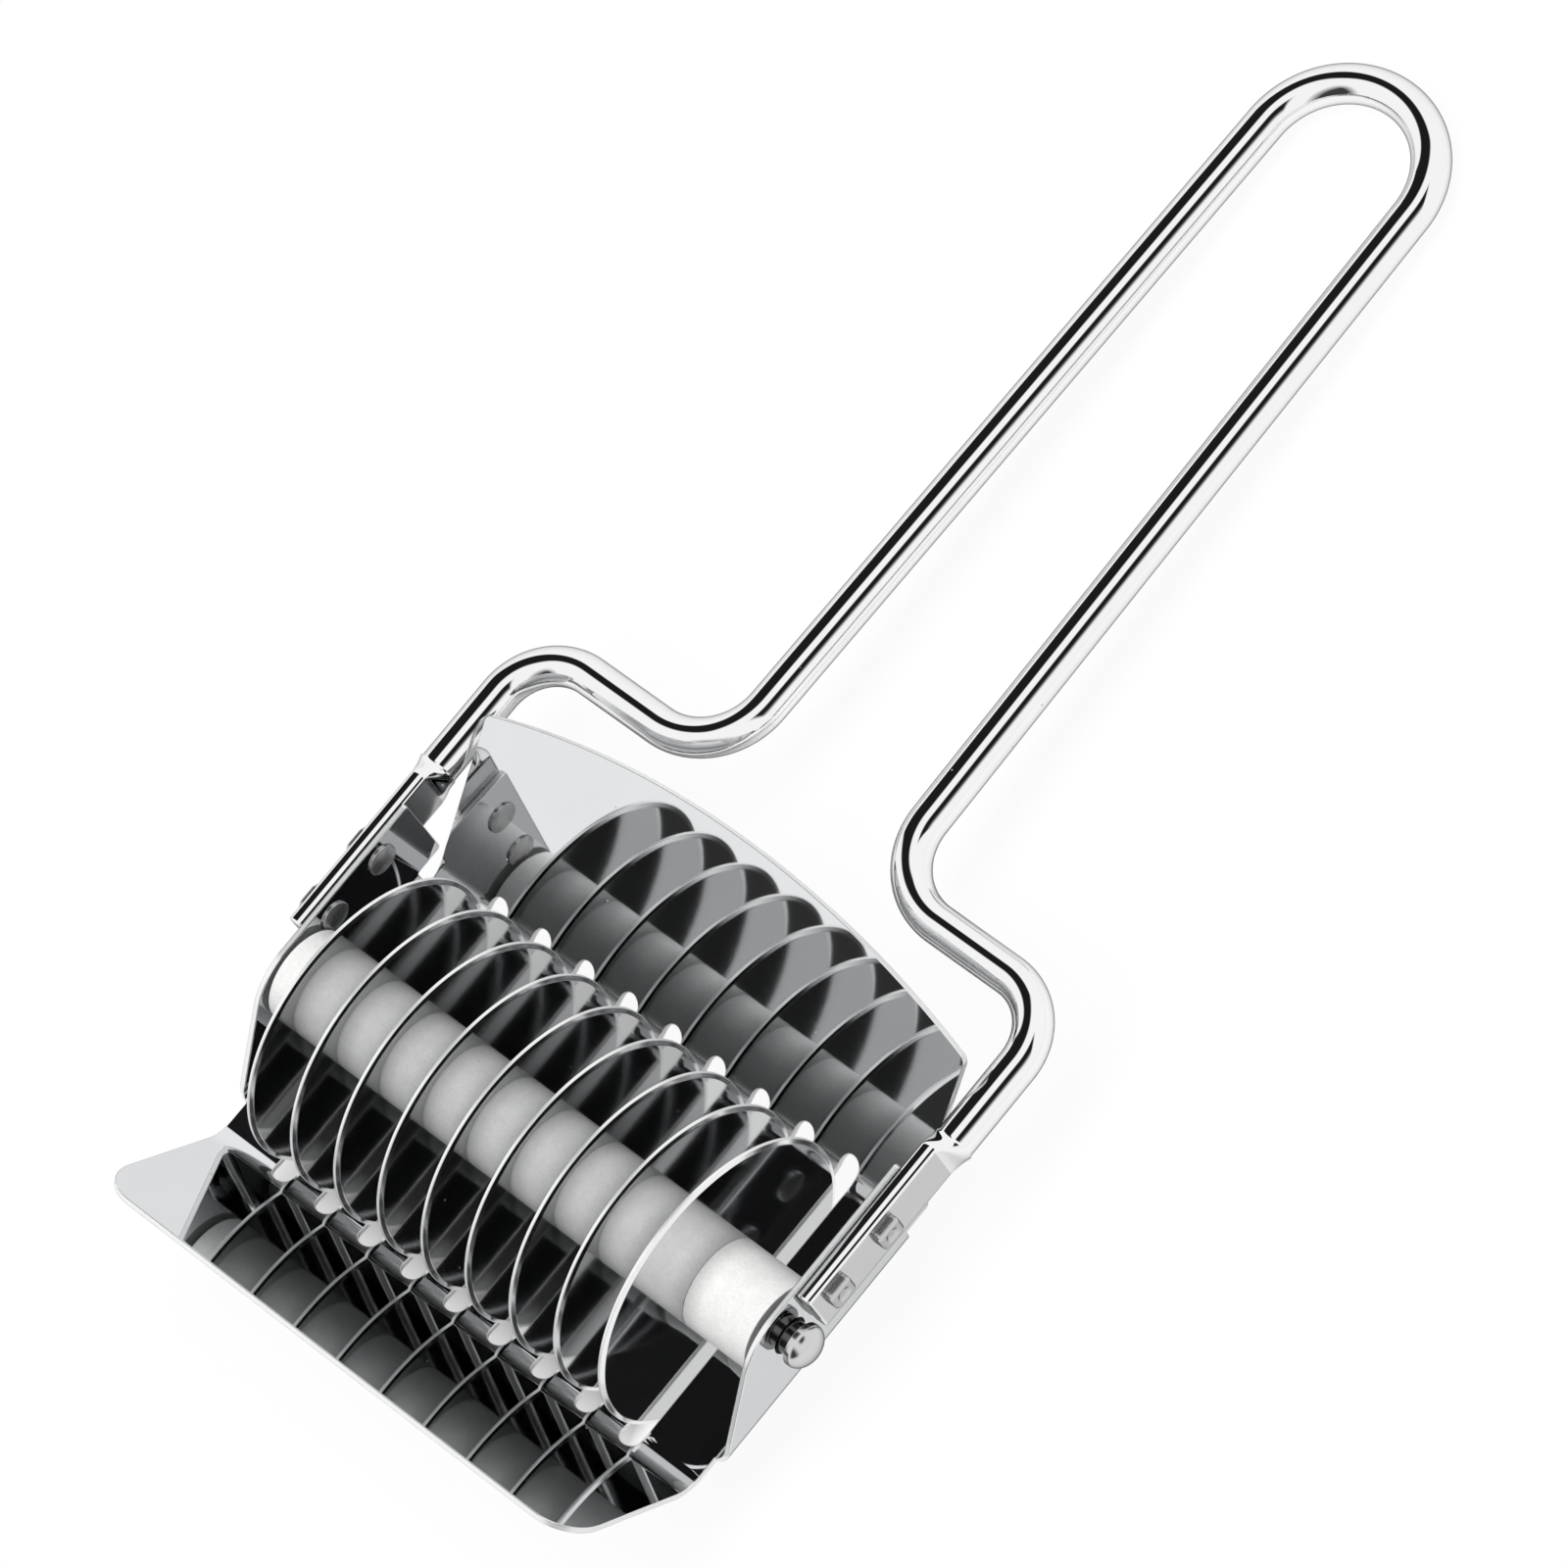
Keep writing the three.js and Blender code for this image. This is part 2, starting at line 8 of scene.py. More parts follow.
import bmesh
import bpy
import numpy as np
from mathutils import Matrix, Vector
from mathutils.geometry import tessellate_polygon
from mathutils.kdtree import KDTree


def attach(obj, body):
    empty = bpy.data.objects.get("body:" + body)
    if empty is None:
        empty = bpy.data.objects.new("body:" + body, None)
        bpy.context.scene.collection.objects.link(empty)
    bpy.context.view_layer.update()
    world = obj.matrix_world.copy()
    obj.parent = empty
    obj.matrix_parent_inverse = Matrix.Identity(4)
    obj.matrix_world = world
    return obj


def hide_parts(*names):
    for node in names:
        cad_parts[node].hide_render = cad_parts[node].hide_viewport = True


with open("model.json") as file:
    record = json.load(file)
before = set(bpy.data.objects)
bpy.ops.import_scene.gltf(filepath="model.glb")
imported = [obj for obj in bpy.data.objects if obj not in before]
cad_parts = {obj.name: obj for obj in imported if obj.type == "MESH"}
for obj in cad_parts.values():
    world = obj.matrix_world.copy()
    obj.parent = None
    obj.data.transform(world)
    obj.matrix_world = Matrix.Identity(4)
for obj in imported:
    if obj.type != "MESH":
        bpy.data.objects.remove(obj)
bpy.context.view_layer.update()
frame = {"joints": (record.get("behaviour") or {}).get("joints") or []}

# Housing: one blank of mirror-polished stainless sheet. It is punched with nine slots and with the
# axle and rivet holes, tumbled so that its edges are just broken, and then folded into a base, two
# guards and two ears.

MM = 0.001
SHEET = 0.8
EDGE_ROUND = 0.16
BASE_DEPTH = 8.3
BASE_HALF_LENGTH = 18.4
GUARD_BEND = 4.5
GUARD_HALF_WIDTH = 38.9
FRONT_ANGLE = math.radians(49.5)
FRONT_REACH = 19.6
FRONT_CORNER = 5.5
REAR_ANGLE = math.radians(42.5)
REAR_REACH = 20.8
REAR_BULGE = 6.9
REAR_CORNER = 1.2
EAR_INNER_X = 39.7
EAR_BEND = 1.0
EAR_TOP = 6.0
EAR_FOOT_Y = -15.4
EAR_SLOPE = math.radians(52)
EAR_SHOULDER = 9.0
EAR_REAR_Y = 22.6
EAR_RELIEF_Z = -6.5
NOTCH_CORNER = 0.3
EAR_CORNER = 0.5
SLOT_HALF_WIDTH = 1.35
SLOT_FRONT = -21.0
SLOT_REAR = 22.2
DISC_COUNT = 9
DISC_PITCH = 7.2
AXLE_HOLE = 2.5
RIVET_HOLE = 1.5
RIVET_PLACES = ((7.3, 2.6), (16.1, 2.6))
GUARD_FOLD_STEPS = 16
EAR_FOLD_STEPS = 12
EDGE_STEPS = 4
NOTCH_MARGIN = 0.01
FOLD_MARGIN = 1e-5
TINY = 1e-6

MID = SHEET / 2
BASE_Z = -BASE_DEPTH - MID
BEND_RADIUS = GUARD_BEND + MID
EAR_RADIUS = EAR_BEND + MID
EAR_START = EAR_INNER_X - EAR_BEND
EAR_CENTRE_Z = BASE_Z + EAR_RADIUS
EAR_RISE_START = EAR_START + EAR_RADIUS * math.pi / 2
DISC_PLACES = [(i - (DISC_COUNT - 1) / 2) * DISC_PITCH for i in range(DISC_COUNT)]

# The axle's place in metres, and how far the tool leans back onto the end of its handle
AXLE_AT = Vector(frame["joints"][0]["pos_m"])
LEAN = math.radians(-6.776285)
LEVEL_TO_FRAME = Matrix.Translation(AXLE_AT) @ Matrix.Rotation(LEAN, 4, "X") @ Matrix.Scale(MM, 4)


def rounded(corners, steps=5, closed=True):
    """Points and left-hand normals of a line through (x, y, radius) corners, each corner turned
    with its radius. A corner of no radius keeps one point."""
    points, normals = [], []
    count = len(corners)
    for i, (x, y, radius) in enumerate(corners):
        here = np.array([x, y], float)
        before = np.array(corners[i - 1][:2], float) if closed or i > 0 else None
        after = np.array(corners[(i + 1) % count][:2], float) if closed or i < count - 1 else None
        into = here - before if before is not None else after - here
        out = after - here if after is not None else here - before
        into /= np.linalg.norm(into)
        out /= np.linalg.norm(out)
        turn = math.atan2(into[0] * out[1] - into[1] * out[0], into @ out)
        side = np.array([-into[1], into[0]])
        if radius == 0 or abs(turn) < TINY:
            half = turn / 2
            points.append(here)
            normals.append(np.array([
                side[0] * math.cos(half) - side[1] * math.sin(half),
                side[0] * math.sin(half) + side[1] * math.cos(half),
            ]))
            continue
        sign = math.copysign(1, turn)
        centre = here - into * radius * math.tan(abs(turn) / 2) + side * sign * radius
        for step in range(steps + 1):
            angle = turn * step / steps
            normal = np.array([
                side[0] * math.cos(angle) - side[1] * math.sin(angle),
                side[0] * math.sin(angle) + side[1] * math.cos(angle),
            ])
            points.append(centre - normal * sign * radius)
            normals.append(normal)
    return np.array(points), np.array(normals)


def new_piece(name, points, normals, faces, material, body, nodes, place=LEVEL_TO_FRAME):
    """A mesh with its own shading normals, which stands for CAD nodes and rides on their body."""
    mesh = bpy.data.meshes.new(name)
    matrix = np.array(place)
    turn = matrix[:3, :3] / np.linalg.norm(matrix[:3, 0])
    points = np.asarray(points) @ matrix[:3, :3].T + matrix[:3, 3]
    normals = np.asarray(normals) @ turn.T
    mesh.from_pydata(points.tolist(), [], faces, shade_flat=False)
    mesh.normals_split_custom_set_from_vertices(
        (normals / np.linalg.norm(normals, axis=1, keepdims=True)).tolist()
    )
    mesh.materials.append(material)
    piece = bpy.data.objects.new(name, mesh)
    bpy.context.scene.collection.objects.link(piece)
    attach(piece, body)
    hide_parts(*nodes)
    return piece


def folded(u, v, w):
    """A point of the flat blank, w above its middle, where the folds take it, with the
    directions of u, v and w there. All in the level frame of the axle."""
    side = math.copysign(1, u)
    end = math.copysign(1, v)
    on_guard = abs(v) > BASE_HALF_LENGTH - TINY and abs(u) < GUARD_HALF_WIDTH + NOTCH_MARGIN
    if abs(u) > EAR_START and not on_guard:
        angle = min((abs(u) - EAR_START) / EAR_RADIUS, math.pi / 2)
        rise = max(abs(u) - EAR_RISE_START, 0)
        x = EAR_START + EAR_RADIUS * math.sin(angle)
        z = EAR_CENTRE_Z - EAR_RADIUS * math.cos(angle) + rise
        up = np.array([-side * math.sin(angle), 0, math.cos(angle)])
        along_u = np.array([math.cos(angle), 0, side * math.sin(angle)])
        return np.array([side * x, v, z]) + up * w, along_u, np.array([0, 1, 0]), up
    most = REAR_ANGLE if v > 0 else FRONT_ANGLE
    angle = min(max(abs(v) - BASE_HALF_LENGTH, 0) / BEND_RADIUS, most)
    flat = min(abs(v), BASE_HALF_LENGTH)
    rise = max(abs(v) - BASE_HALF_LENGTH - BEND_RADIUS * most, 0)
    y = flat + BEND_RADIUS * math.sin(angle) + rise * math.cos(angle)
    z = BASE_Z + BEND_RADIUS * (1 - math.cos(angle)) + rise * math.sin(angle)
    up = np.array([0, -end * math.sin(angle), math.cos(angle)])
    along_v = np.array([0, math.cos(angle), end * math.sin(angle)])
    return np.array([u, end * y, z]) + up * w, np.array([1, 0, 0]), along_v, up


def unfolded_y(y):
    """Where on the flat blank a point of the strip lies that ends up y from the axle."""
    most = REAR_ANGLE if y > 0 else FRONT_ANGLE
    past = abs(y) - BASE_HALF_LENGTH
    if past <= 0:
        return y
    bend = min(past / BEND_RADIUS, math.sin(most))
    rise = (past - BEND_RADIUS * bend) / math.cos(most)
    return math.copysign(BASE_HALF_LENGTH + BEND_RADIUS * math.asin(bend) + max(rise, 0), y)


def ear_u(z):
    """How far out on the flat blank a point of an ear lies that ends up z from the axle."""
    return EAR_RISE_START + z - EAR_CENTRE_Z


def blank_outline():
    """The right half of the blank from the front guard's middle to the rear guard's middle."""
    front = -(BASE_HALF_LENGTH + BEND_RADIUS * FRONT_ANGLE)
    rear = BASE_HALF_LENGTH + BEND_RADIUS * REAR_ANGLE
    half = [(GUARD_HALF_WIDTH, front - FRONT_REACH, FRONT_CORNER)]
    for angle in np.linspace((GUARD_HALF_WIDTH - EAR_START) / EAR_RADIUS, math.pi / 2, 8):
        z = EAR_CENTRE_Z - EAR_RADIUS * math.cos(angle)
        run = EAR_FOOT_Y + (z + BASE_DEPTH) / math.tan(EAR_SLOPE)
        half.append((EAR_START + EAR_RADIUS * angle, run, NOTCH_CORNER if len(half) == 1 else 0))
    top_run = EAR_FOOT_Y + (EAR_TOP + BASE_DEPTH) / math.tan(EAR_SLOPE)
    half += [
        (ear_u(EAR_TOP), top_run, EAR_SHOULDER),
        (ear_u(EAR_TOP), EAR_REAR_Y, EAR_CORNER),
        (ear_u(EAR_RELIEF_Z), EAR_REAR_Y, EAR_CORNER),
        (ear_u(EAR_RELIEF_Z), BASE_HALF_LENGTH, NOTCH_CORNER),
        (GUARD_HALF_WIDTH, BASE_HALF_LENGTH, NOTCH_CORNER),
    ]
    arc_radius = (GUARD_HALF_WIDTH ** 2 + REAR_BULGE ** 2) / (REAR_BULGE * 2)
    arc_centre = rear + REAR_REACH + REAR_BULGE - arc_radius
    spread = math.asin(GUARD_HALF_WIDTH / arc_radius)
    half.append((GUARD_HALF_WIDTH, arc_centre + arc_radius * math.cos(spread), REAR_CORNER))
    first_share = 0.96
    for share in np.linspace(first_share, 0, 40):
        angle = spread * share
        half.append((arc_radius * math.sin(angle), arc_centre + arc_radius * math.cos(angle), 0))
    mirrored = [(-u, v, radius) for u, v, radius in reversed(half[:-1])]
    return (half + mirrored)[::-1]


def circle(u, v, radius, steps=32):
    """A round hole's outline on the flat blank."""
    return [
        (u + radius * math.cos(a), v + radius * math.sin(a), 0)
        for a in np.linspace(0, math.tau, steps, endpoint=False)
    ]


def slot_outline(x, steps=12):
    """A slot that is straight-sided and round-ended as seen from above, on the flat blank."""
    corners = []
    for y, start in ((SLOT_REAR - SLOT_HALF_WIDTH, 0), (SLOT_FRONT + SLOT_HALF_WIDTH, math.pi)):
        for step in range(steps + 1):
            angle = start + math.pi * step / steps
            corners.append((
                x + SLOT_HALF_WIDTH * math.cos(angle),
                unfolded_y(y + SLOT_HALF_WIDTH * math.sin(angle)),
                0,
            ))
    return corners


def fold_lines():
    """Cuts across the blank, as (axis, place), so close that the folds come out round."""
    lines = []
    for most, end in ((REAR_ANGLE, 1), (FRONT_ANGLE, -1)):
        for step in range(GUARD_FOLD_STEPS + 1):
            lines.append((1, end * (BASE_HALF_LENGTH + BEND_RADIUS * most * step / GUARD_FOLD_STEPS)))
    for side in (-1, 1):
        for step in range(EAR_FOLD_STEPS + 1):
            lines.append((0, side * (EAR_START + EAR_RADIUS * math.pi / 2 * step / EAR_FOLD_STEPS)))
    return lines


def cut_at_folds(points, normals, lines):
    """The same loop with a point wherever its broken edge's inner line crosses a fold line."""
    new_points, new_normals = [], []
    for i in range(len(points)):
        j = (i + 1) % len(points)
        inner_i = points[i] - normals[i] * EDGE_ROUND
        inner_j = points[j] - normals[j] * EDGE_ROUND
        shares = {0.0}
        for axis, place in lines:
            a, b = inner_i[axis] - place, inner_j[axis] - place
            if a * b < 0 and min(abs(a), abs(b)) > FOLD_MARGIN:
                shares.add(a / (a - b))
        for share in sorted(shares):
            normal = normals[i] * (1 - share) + normals[j] * share
            new_points.append(points[i] * (1 - share) + points[j] * share)
            new_normals.append(normal / np.linalg.norm(normal))
    return np.array(new_points), np.array(new_normals)


def fold_blank():
    """The folded housing as points, normals, faces and a mark for each satin face, in the level
    frame. Satin are the cut wall all round and the broken top edges of the slots."""
    lines = fold_lines()
    outlines = [rounded(blank_outline(), 10)]
    outlines += [rounded(slot_outline(x)) for x in DISC_PLACES]
    for side in (-1, 1):
        outlines.append(rounded(circle(side * ear_u(0), 0, AXLE_HOLE)))
        outlines += [rounded(circle(side * ear_u(z), y, RIVET_HOLE)) for y, z in RIVET_PLACES]
    loops = [cut_at_folds(points, normals, lines) for points, normals in outlines]

    # Both faces of the sheet, filled inside the broken edges and split along the fold lines
    inner = [points - normals * EDGE_ROUND for points, normals in loops]
    flat = bmesh.new()
    corners = [flat.verts.new((u, v, 0)) for loop in inner for u, v in loop]
    for triangle in tessellate_polygon([[Vector((u, v, 0)) for u, v in loop] for loop in inner]):
        flat.faces.new([corners[i] for i in triangle])
    for axis, place in lines:
        direction = Vector((1, 0, 0)) if axis == 0 else Vector((0, 1, 0))
        bmesh.ops.bisect_plane(
            flat, geom=flat.verts[:] + flat.edges[:] + flat.faces[:], dist=TINY,
            plane_co=direction * place, plane_no=direction,
        )
    flat.verts.index_update()
    layer = np.array([vert.co[:2] for vert in flat.verts])
    fills = []
    for face in flat.faces:
        ring = [vert.index for vert in face.verts]
        fills.append(ring if face.normal.z > 0 else ring[::-1])
    flat.free()

    points, normals, faces = [], [], []
    for w in (MID, -MID):
        for u, v in layer:
            at, _, _, up = folded(u, v, w)
            points.append(at)
            normals.append(up * math.copysign(1, w))
    count = len(layer)
    faces += fills + [[i + count for i in ring[::-1]] for ring in fills]

    # The broken edges and the cut wall between them, round every outline
    tree = KDTree(count)
    for i, (u, v) in enumerate(layer):
        tree.insert((u, v, 0), i)
    tree.balance()
    satin = [False] * len(faces)
    quarter = [math.pi / 2 * step / EDGE_STEPS for step in range(1, EDGE_STEPS + 1)]
    rings = [(EDGE_ROUND * (1 - math.sin(a)), MID - EDGE_ROUND * (1 - math.cos(a)), a) for a in quarter]
    wall = len(rings)
    rings += [(inset, -w, math.pi - a) for inset, w, a in reversed(rings)]
    for index, ((loop_points, loop_normals), inset_loop) in enumerate(zip(loops, inner)):
        slotted = 0 < index <= DISC_COUNT
        size = len(loop_points)
        top = [tree.find((u, v, 0))[1] for u, v in inset_loop]
        previous = top
        for step, (inset, w, angle) in enumerate(rings):
            start = len(points)
            for (u, v), (nu, nv) in zip(loop_points, loop_normals):
                at, along_u, along_v, up = folded(u - nu * inset, v - nv * inset, w)
                outward = along_u * nu + along_v * nv
                points.append(at)
                normals.append(outward * math.sin(angle) + up * math.cos(angle))
            ring = list(range(start, start + size))
            faces += [
                [previous[i], previous[(i + 1) % size], ring[(i + 1) % size], ring[i]] for i in range(size)
            ]
            satin += [step <= wall if slotted else step == wall] * size
            previous = ring
        bottom = [i + count for i in top]
        faces += [
            [previous[i], previous[(i + 1) % size], bottom[(i + 1) % size], bottom[i]] for i in range(size)
        ]
        satin += [False] * size
    return points, normals, faces, satin


def node_group(name, inputs, outputs):
    """An empty shader group with named number inputs and named outputs."""
    group = bpy.data.node_groups.new(name, "ShaderNodeTree")
    for label, value in inputs:
        socket = group.interface.new_socket(label, in_out="INPUT", socket_type="NodeSocketFloat")
        socket.default_value = value
    for label, kind in outputs:
        group.interface.new_socket(label, in_out="OUTPUT", socket_type=kind)
    return group, group.nodes.new("NodeGroupInput"), group.nodes.new("NodeGroupOutput")


def add(tree, kind, links=(), **settings):
    """A shader node with its settings, and its inputs linked or set by name or number."""
    node = tree.nodes.new(kind)
    for key, value in settings.items():
        setattr(node, key, value)
    for socket, value in dict(links).items():
        if isinstance(value, bpy.types.NodeSocket):
            tree.links.new(value, node.inputs[socket])
        else:
            node.inputs[socket].default_value = value
    return node


def calc(tree, operation, *values, **settings):
    """The result of a math node on links or plain numbers."""
    return add(tree, "ShaderNodeMath", enumerate(values), operation=operation, **settings).outputs[0]


def ramp(tree, value, low, high, start=0.0, end=1.0, **settings):
    """A number that runs from start to end while value runs from low to high."""
    return add(tree, "ShaderNodeMapRange", {
        "Value": value, "From Min": low, "From Max": high, "To Min": start, "To Max": end,
    }, **settings).outputs[0]


def blend(tree, share, first, second):
    """The colour that lies a share of the way from first to second, the mix node's inputs 6 and 7."""
    return add(tree, "ShaderNodeMix", {"Factor": share, 6: first, 7: second}, data_type="RGBA").outputs[2]


def polish_group():
    """What buffing leaves on steel: slow waves of the surface, and faint hairlines and haze."""
    hairline_stretch = (9000, 160, 9000)
    group, given, made = node_group(
        "buffed_steel",
        [("Wave Size", 12.0), ("Hairline Angle", 0.0), ("Gloss", 0.04), ("Haze", 0.05)],
        [("Waves", "NodeSocketFloat"), ("Roughness", "NodeSocketFloat"), ("Tone", "NodeSocketFloat")],
    )
    place = add(group, "ShaderNodeTexCoord").outputs["Object"]
    wave_scale = calc(group, "DIVIDE", 1 / MM, given.outputs["Wave Size"])
    waves = add(group, "ShaderNodeTexNoise", {
        "Vector": place, "Scale": wave_scale, "Detail": 1.5, "Roughness": 0.4,
    })
    tilted = add(group, "ShaderNodeVectorRotate", {
        "Vector": place, "Angle": given.outputs["Hairline Angle"],
    }, rotation_type="X_AXIS")
    stretched = add(group, "ShaderNodeVectorMath", {
        0: tilted.outputs[0], 1: hairline_stretch,
    }, operation="MULTIPLY")
    hairlines = add(group, "ShaderNodeTexNoise", {
        "Vector": stretched.outputs[0], "Scale": 1.0, "Detail": 3.0,
    })
    haze = add(group, "ShaderNodeTexNoise", {
        "Vector": place, "Scale": 90.0, "Detail": 5.0, "Roughness": 0.65,
    })
    mixed = calc(group, "MULTIPLY", hairlines.outputs["Fac"], haze.outputs["Fac"])
    strong = calc(group, "MULTIPLY", mixed, given.outputs["Haze"])
    group.links.new(waves.outputs["Fac"], made.inputs["Waves"])
    group.links.new(calc(group, "ADD", strong, given.outputs["Gloss"]), made.inputs["Roughness"])
    group.links.new(haze.outputs["Fac"], made.inputs["Tone"])
    return group


def dust_group():
    """Sparse specks of dust, each with its own size."""
    largest = 0.05
    group, given, made = node_group(
        "dust_specks", [("Spacing", 3.0), ("Amount", 0.3)], [("Specks", "NodeSocketFloat")],
    )
    place = add(group, "ShaderNodeTexCoord").outputs["Object"]
    cells = add(group, "ShaderNodeTexVoronoi", {
        "Vector": place, "Scale": calc(group, "DIVIDE", 1 / MM, given.outputs["Spacing"]),
    })
    chance = add(group, "ShaderNodeSeparateColor", {0: cells.outputs["Color"]})
    kept = calc(group, "LESS_THAN", chance.outputs[0], given.outputs["Amount"])
    radius = calc(group, "MULTIPLY", chance.outputs[1], largest)
    inside = calc(group, "LESS_THAN", cells.outputs["Distance"], radius)
    group.links.new(calc(group, "MULTIPLY", inside, kept), made.inputs["Specks"])
    return group


POLISH = polish_group()
DUST = dust_group()
DUST_COLOUR = (0.5, 0.5, 0.49, 1)
DULL_TONE = 0.93


def steel(
    name, colour, gloss, haze, wave_size, wave_depth, hairline_angle=0.0, dust=0.25, bare=1.0, edge=1.0,
):
    """Polished steel whose reflections waver a little and are a touch duller along the buffing. The
    less bare it is, the more it scatters, as a ground edge does. Edge is how bright it stays where
    it turns away from the eye."""
    material = bpy.data.materials.new(name)
    material.use_nodes = True
    tree = material.node_tree
    shader = tree.nodes["Principled BSDF"]
    shader.inputs["IOR"].default_value = 2.5
    shader.inputs["Specular Tint"].default_value = (edge, edge, edge, 1)
    buffed = add(tree, "ShaderNodeGroup", node_tree=POLISH)
    for label, value in (
        ("Wave Size", wave_size), ("Hairline Angle", hairline_angle), ("Gloss", gloss), ("Haze", haze),
    ):
        buffed.inputs[label].default_value = value
    dusted = add(tree, "ShaderNodeGroup", node_tree=DUST)
    dusted.inputs["Amount"].default_value = dust
    specks = dusted.outputs["Specks"]
    darker = tuple(c * DULL_TONE for c in colour) + (1,)
    toned = blend(tree, buffed.outputs["Tone"], darker, tuple(colour) + (1,))
    bump = add(tree, "ShaderNodeBump", {
        "Height": buffed.outputs["Waves"], "Strength": 1.0, "Distance": wave_depth * MM,
    })
    metal = calc(tree, "SUBTRACT", bare, specks, use_clamp=True)
    tree.links.new(blend(tree, specks, toned, DUST_COLOUR), shader.inputs["Base Color"])
    tree.links.new(metal, shader.inputs["Metallic"])
    tree.links.new(calc(tree, "MAXIMUM", specks, buffed.outputs["Roughness"]), shader.inputs["Roughness"])
    tree.links.new(bump.outputs[0], shader.inputs["Normal"])
    return material


sheet_steel = steel(
    "mirror_polished_sheet", (0.80, 0.81, 0.82), gloss=0.015, haze=0.05, wave_size=16, wave_depth=0.012,
    edge=0.15,
)
sheared_steel = steel(
    "sheared_edge_steel", (0.90, 0.90, 0.90), gloss=0.3, haze=0.12, wave_size=2, wave_depth=0.003, bare=0.4,
)
points, normals, faces, satin = fold_blank()
housing = new_piece(
    "folded_housing", points, normals, faces, sheet_steel, "frame", ["housing"],
)
housing.data.materials.append(sheared_steel)
for polygon, is_satin in zip(housing.data.polygons, satin):
    polygon.material_index = int(is_satin)

# Axle: a turned steel pin through both ears. Its shank, and with it the low left end, is coloured near
# black: painted shade for the holes and gaps that the shank sits in. It has a domed head outside
# the right ear, and its left end is formed over low.

AXLE_RADIUS = 2.2
AXLE_END_X = -41.4
AXLE_END_SEAT = -40.8
AXLE_END_RADIUS = 2.6
AXLE_HEAD_SEAT = 42.0
AXLE_HEAD_RIM = 42.6
AXLE_HEAD_RADIUS = 2.9
AXLE_DOME = 1.9
AXLE_END_ROUND = 0.28
AXLE_END_EDGE = 0.1
AXLE_HEAD_EDGE = 0.12
SEAT_FILLET = 0.05
SHANK_MARGIN = 0.02
DOME_STEPS = 12


def turned(corners, segments, steps=5, closed=False):
    """Points, normals and faces of a solid turned about the X axis from (x, radius, fillet)
    corners, which run from the left end of the axis to its right end or close on themselves."""
    line, slants = rounded(corners, steps, closed)
    points, normals, faces, rings = [], [], [], []
    for (x, radius), (nx, nr) in zip(line, slants):
        if radius < TINY:
            points.append((x, 0, 0))
            normals.append((math.copysign(1, nx), 0, 0))
            rings.append([len(points) - 1] * segments)
            continue
        start = len(points)
        for step in range(segments):
            c, s = math.cos(math.tau * step / segments), math.sin(math.tau * step / segments)
            points.append((x, radius * c, radius * s))
            normals.append((nx, nr * c, nr * s))
        rings.append(list(range(start, start + segments)))
    pairs = list(zip(rings, rings[1:])) + ([(rings[-1], rings[0])] if closed else [])
    for first, second in pairs:
        for i in range(segments):
            j = (i + 1) % segments
            ring = [first[i], first[j], second[j], second[i]]
            face = list(dict.fromkeys(ring))
            if len(face) > 2:
                faces.append(face)
    return np.array(points, float), np.array(normals, float), faces


pin_steel = steel(
    "turned_pin_steel", (0.66, 0.66, 0.66), gloss=0.16, haze=0.12, wave_size=3, wave_depth=0.006, edge=0.2,
)
# Near-black steel for the shank: painted shade, not a finish of the pin's own
shaded_shank_steel = steel(
    "shank_steel_painted_shade", (0.16, 0.16, 0.16), gloss=0.12, haze=0.2, wave_size=3, wave_depth=0.004,
)
axle_corners = [
    (AXLE_END_X, 0, 0),
    (AXLE_END_X, AXLE_END_RADIUS, AXLE_END_ROUND),
    (AXLE_END_SEAT, AXLE_END_RADIUS, AXLE_END_EDGE),
    (AXLE_END_SEAT, AXLE_RADIUS, SEAT_FILLET),
    (AXLE_HEAD_SEAT, AXLE_RADIUS, SEAT_FILLET),
    (AXLE_HEAD_SEAT, AXLE_HEAD_RADIUS, AXLE_HEAD_EDGE),
    (AXLE_HEAD_RIM, AXLE_HEAD_RADIUS, 0),
]
for step in range(1, DOME_STEPS):
    angle = math.pi / 2 * step / DOME_STEPS
    axle_corners.append((
        AXLE_HEAD_RIM + AXLE_DOME * math.sin(angle), AXLE_HEAD_RADIUS * math.cos(angle), 0,
    ))
axle_corners.append((AXLE_HEAD_RIM + AXLE_DOME, 0, 0))
points, normals, faces = turned(axle_corners, segments=64)
axle = new_piece("axle_pin", points, normals, faces, pin_steel, "frame", ["axle"])
axle.data.materials.append(shaded_shank_steel)
# The shank's faces, and those of the low left end, take the painted-shade steel
for polygon, face in zip(axle.data.polygons, faces):
    polygon.material_index = int(abs(points[face][:, 0].mean()) < AXLE_HEAD_SEAT - SHANK_MARGIN)

# Spacers: ten white plastic tubes cut from one extrusion. Each runs freely on the axle and holds
# its two discs apart, or holds the outer disc off its ear.

SPACER_RADIUS = 6.2
DISC_THICKNESS = 0.8
END_SPACER_LENGTH = 9.9
SPACER_EDGE = 0.12
PLASTIC_DULL = (0.77, 0.77, 0.76, 1)
PLASTIC_CLEAN = (0.91, 0.91, 0.90, 1)
PLASTIC_SPECK = (0.35, 0.35, 0.34, 1)
ROLLER_TO_FRAME = Matrix.Translation(AXLE_AT) @ Matrix.Scale(MM, 4)

